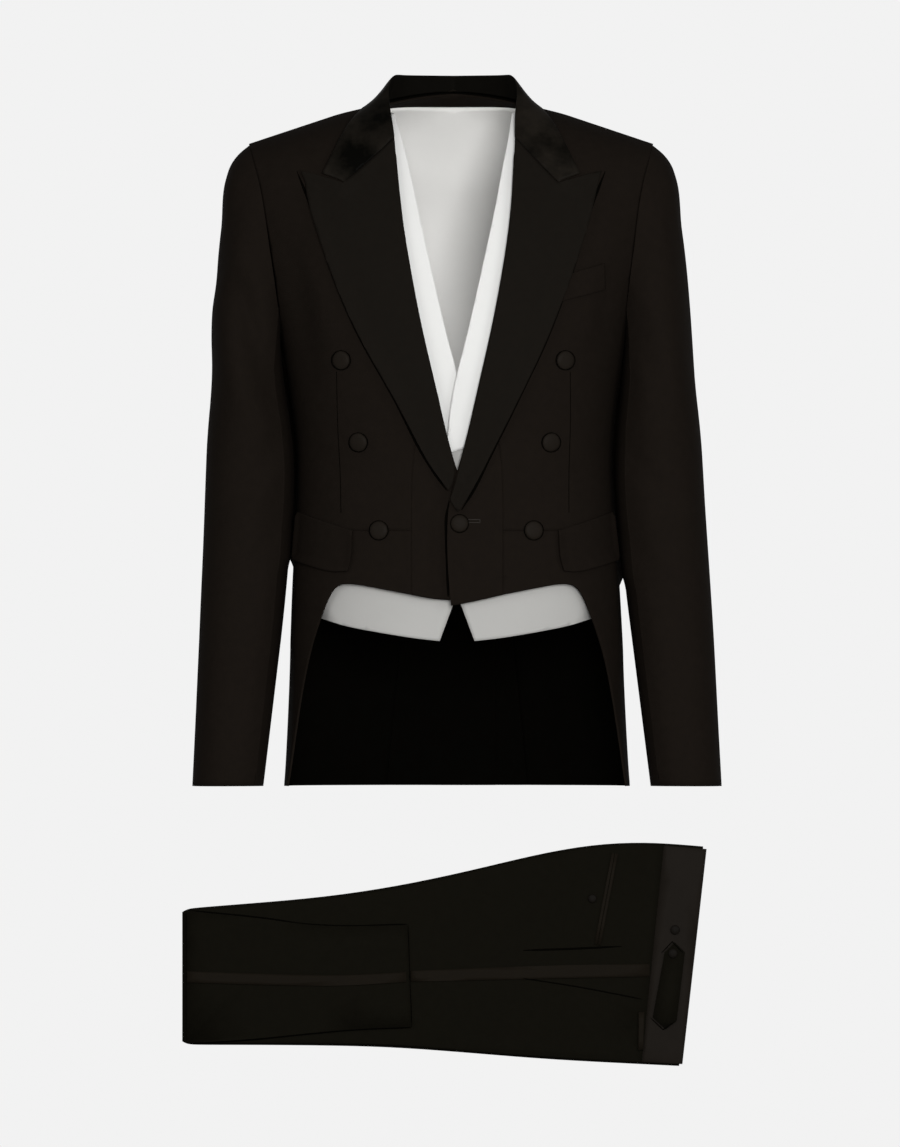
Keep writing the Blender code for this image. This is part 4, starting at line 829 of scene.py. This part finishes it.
for name, radius, line in TROUSER_LINES:
    if name in ROUNDED_LINES:
        spots = smooth_line(line, 0.004)
    else:
        # Straight from corner to corner
        spots = [line[0]]
        for first, second in zip(line, line[1:]):
            way = np.subtract(second, first)
            spots += [np.add(first, way * step / STEPS) for step in range(1, STEPS + 1)]
    centres = [find_trousers(x, z)[0] for x, z in spots]
    centres = [centre for centre in centres if centre is not None]
    radii = tapered(radius, len(centres), 0.35, 0.3)
    dress(tube(f"trouser_{name}", centres, radii, 6), seam_and_shadow_wool, "black_wool")

# Studio
# A pale floor and an even pale surround, large soft lights from the front, and a long lens
# that keeps the picture's proportions.

PALE = 0.887
SOFT_LIGHT = 0.26
FLOOR_DROP = 0.35
MM_PER_PIXEL = 1.05
FRAME_WIDTH = 900
FRAME_HEIGHT = 1147
AXIS_PIXEL = 457
SHOULDER_PIXEL = 130
LENS_DISTANCE = 30.0
FRONT_PLANE = -0.06


def camera_only(node_tree, seen, elsewhere):
    # One pale tone where the camera looks, another strength for the light it gives
    path = node_tree.nodes.new("ShaderNodeLightPath")
    mix = node_tree.nodes.new("ShaderNodeMix")
    mix.data_type = "RGBA"
    mix.inputs["A"].default_value = (elsewhere, elsewhere, elsewhere, 1)
    mix.inputs["B"].default_value = (seen, seen, seen, 1)
    node_tree.links.new(path.outputs["Is Camera Ray"], mix.inputs["Factor"])
    return mix.outputs["Result"]


world = bpy.data.worlds.new("pale surround")
world.use_nodes = True
bpy.context.scene.world = world
surround = world.node_tree.nodes["Background"]
world.node_tree.links.new(camera_only(world.node_tree, PALE, SOFT_LIGHT), surround.inputs["Color"])

floor_mesh = bpy.data.meshes.new("floor")
work = bmesh.new()
bmesh.ops.create_grid(work, x_segments=1, y_segments=1, size=6.0)
work.to_mesh(floor_mesh)
work.free()
floor = bpy.data.objects.new("floor", floor_mesh)
floor.location = (0, 0, cad_low.z - FLOOR_DROP)
bpy.context.scene.collection.objects.link(floor)
floor_material = bpy.data.materials.new("pale floor")
floor_material.use_nodes = True
floor_nodes = floor_material.node_tree
floor_shader = floor_nodes.nodes["Principled BSDF"]
floor_shader.inputs["Base Color"].default_value = (0, 0, 0, 1)
floor_shader.inputs["Specular IOR Level"].default_value = 0.0
floor_shader.inputs["Emission Strength"].default_value = 1.0
floor_nodes.links.new(camera_only(floor_nodes, PALE, SOFT_LIGHT), floor_shader.inputs["Emission Color"])
floor.data.materials.append(floor_material)

# name, place, size, power: lights aim at the middle of the coat
LIGHTS = [
    ("front light", (0.5, -4.4, 0.0), 1.4, 140.0),
    ("key light", (-2.4, -3.0, 1.0), 1.6, 24.0),
    ("fill light", (2.8, -2.8, 0.3), 1.6, 26.0),
    ("back light left", (-2.4, 3.2, 0.8), 2.0, 12.0),
    ("back light right", (2.4, 3.2, 0.4), 2.0, 12.0),
]
# A small lamp inside the coat keeps the waistcoat's back as even and pale as it is shown
INNER_SIZE = 0.14
INNER_POWER = 0.05
inner_lamp = bpy.data.lights.new("inner light", "AREA")
inner_lamp.size = INNER_SIZE
inner_lamp.energy = INNER_POWER
inner_light = bpy.data.objects.new("inner light", inner_lamp)
inner_light.location = (0, -0.035, -0.25)
inner_light.rotation_euler = (math.radians(90), 0, 0)
inner_light.visible_camera = False
bpy.context.scene.collection.objects.link(inner_light)
aim = Vector((0, 0, -0.35))
for name, place, size, power in LIGHTS:
    lamp = bpy.data.lights.new(name, "AREA")
    lamp.size = size
    lamp.energy = power
    light = bpy.data.objects.new(name, lamp)
    light.location = place
    light.rotation_euler = (aim - Vector(place)).to_track_quat("-Z", "Y").to_euler()
    bpy.context.scene.collection.objects.link(light)

camera_data = bpy.data.cameras.new("long lens")
frame_height = FRAME_HEIGHT * MM_PER_PIXEL / 1000
camera_data.lens = camera_data.sensor_width * (LENS_DISTANCE + FRONT_PLANE) / frame_height
camera_data.clip_end = 200.0
camera = bpy.data.objects.new("camera", camera_data)
camera.location = (
    (FRAME_WIDTH / 2 - AXIS_PIXEL) * MM_PER_PIXEL / 1000,
    -LENS_DISTANCE,
    (SHOULDER_PIXEL - FRAME_HEIGHT / 2) * MM_PER_PIXEL / 1000,
)
camera.rotation_euler = (math.radians(90), 0, 0)
bpy.context.scene.collection.objects.link(camera)
bpy.context.scene.camera = camera
bpy.context.scene.view_settings.view_transform = "Standard"
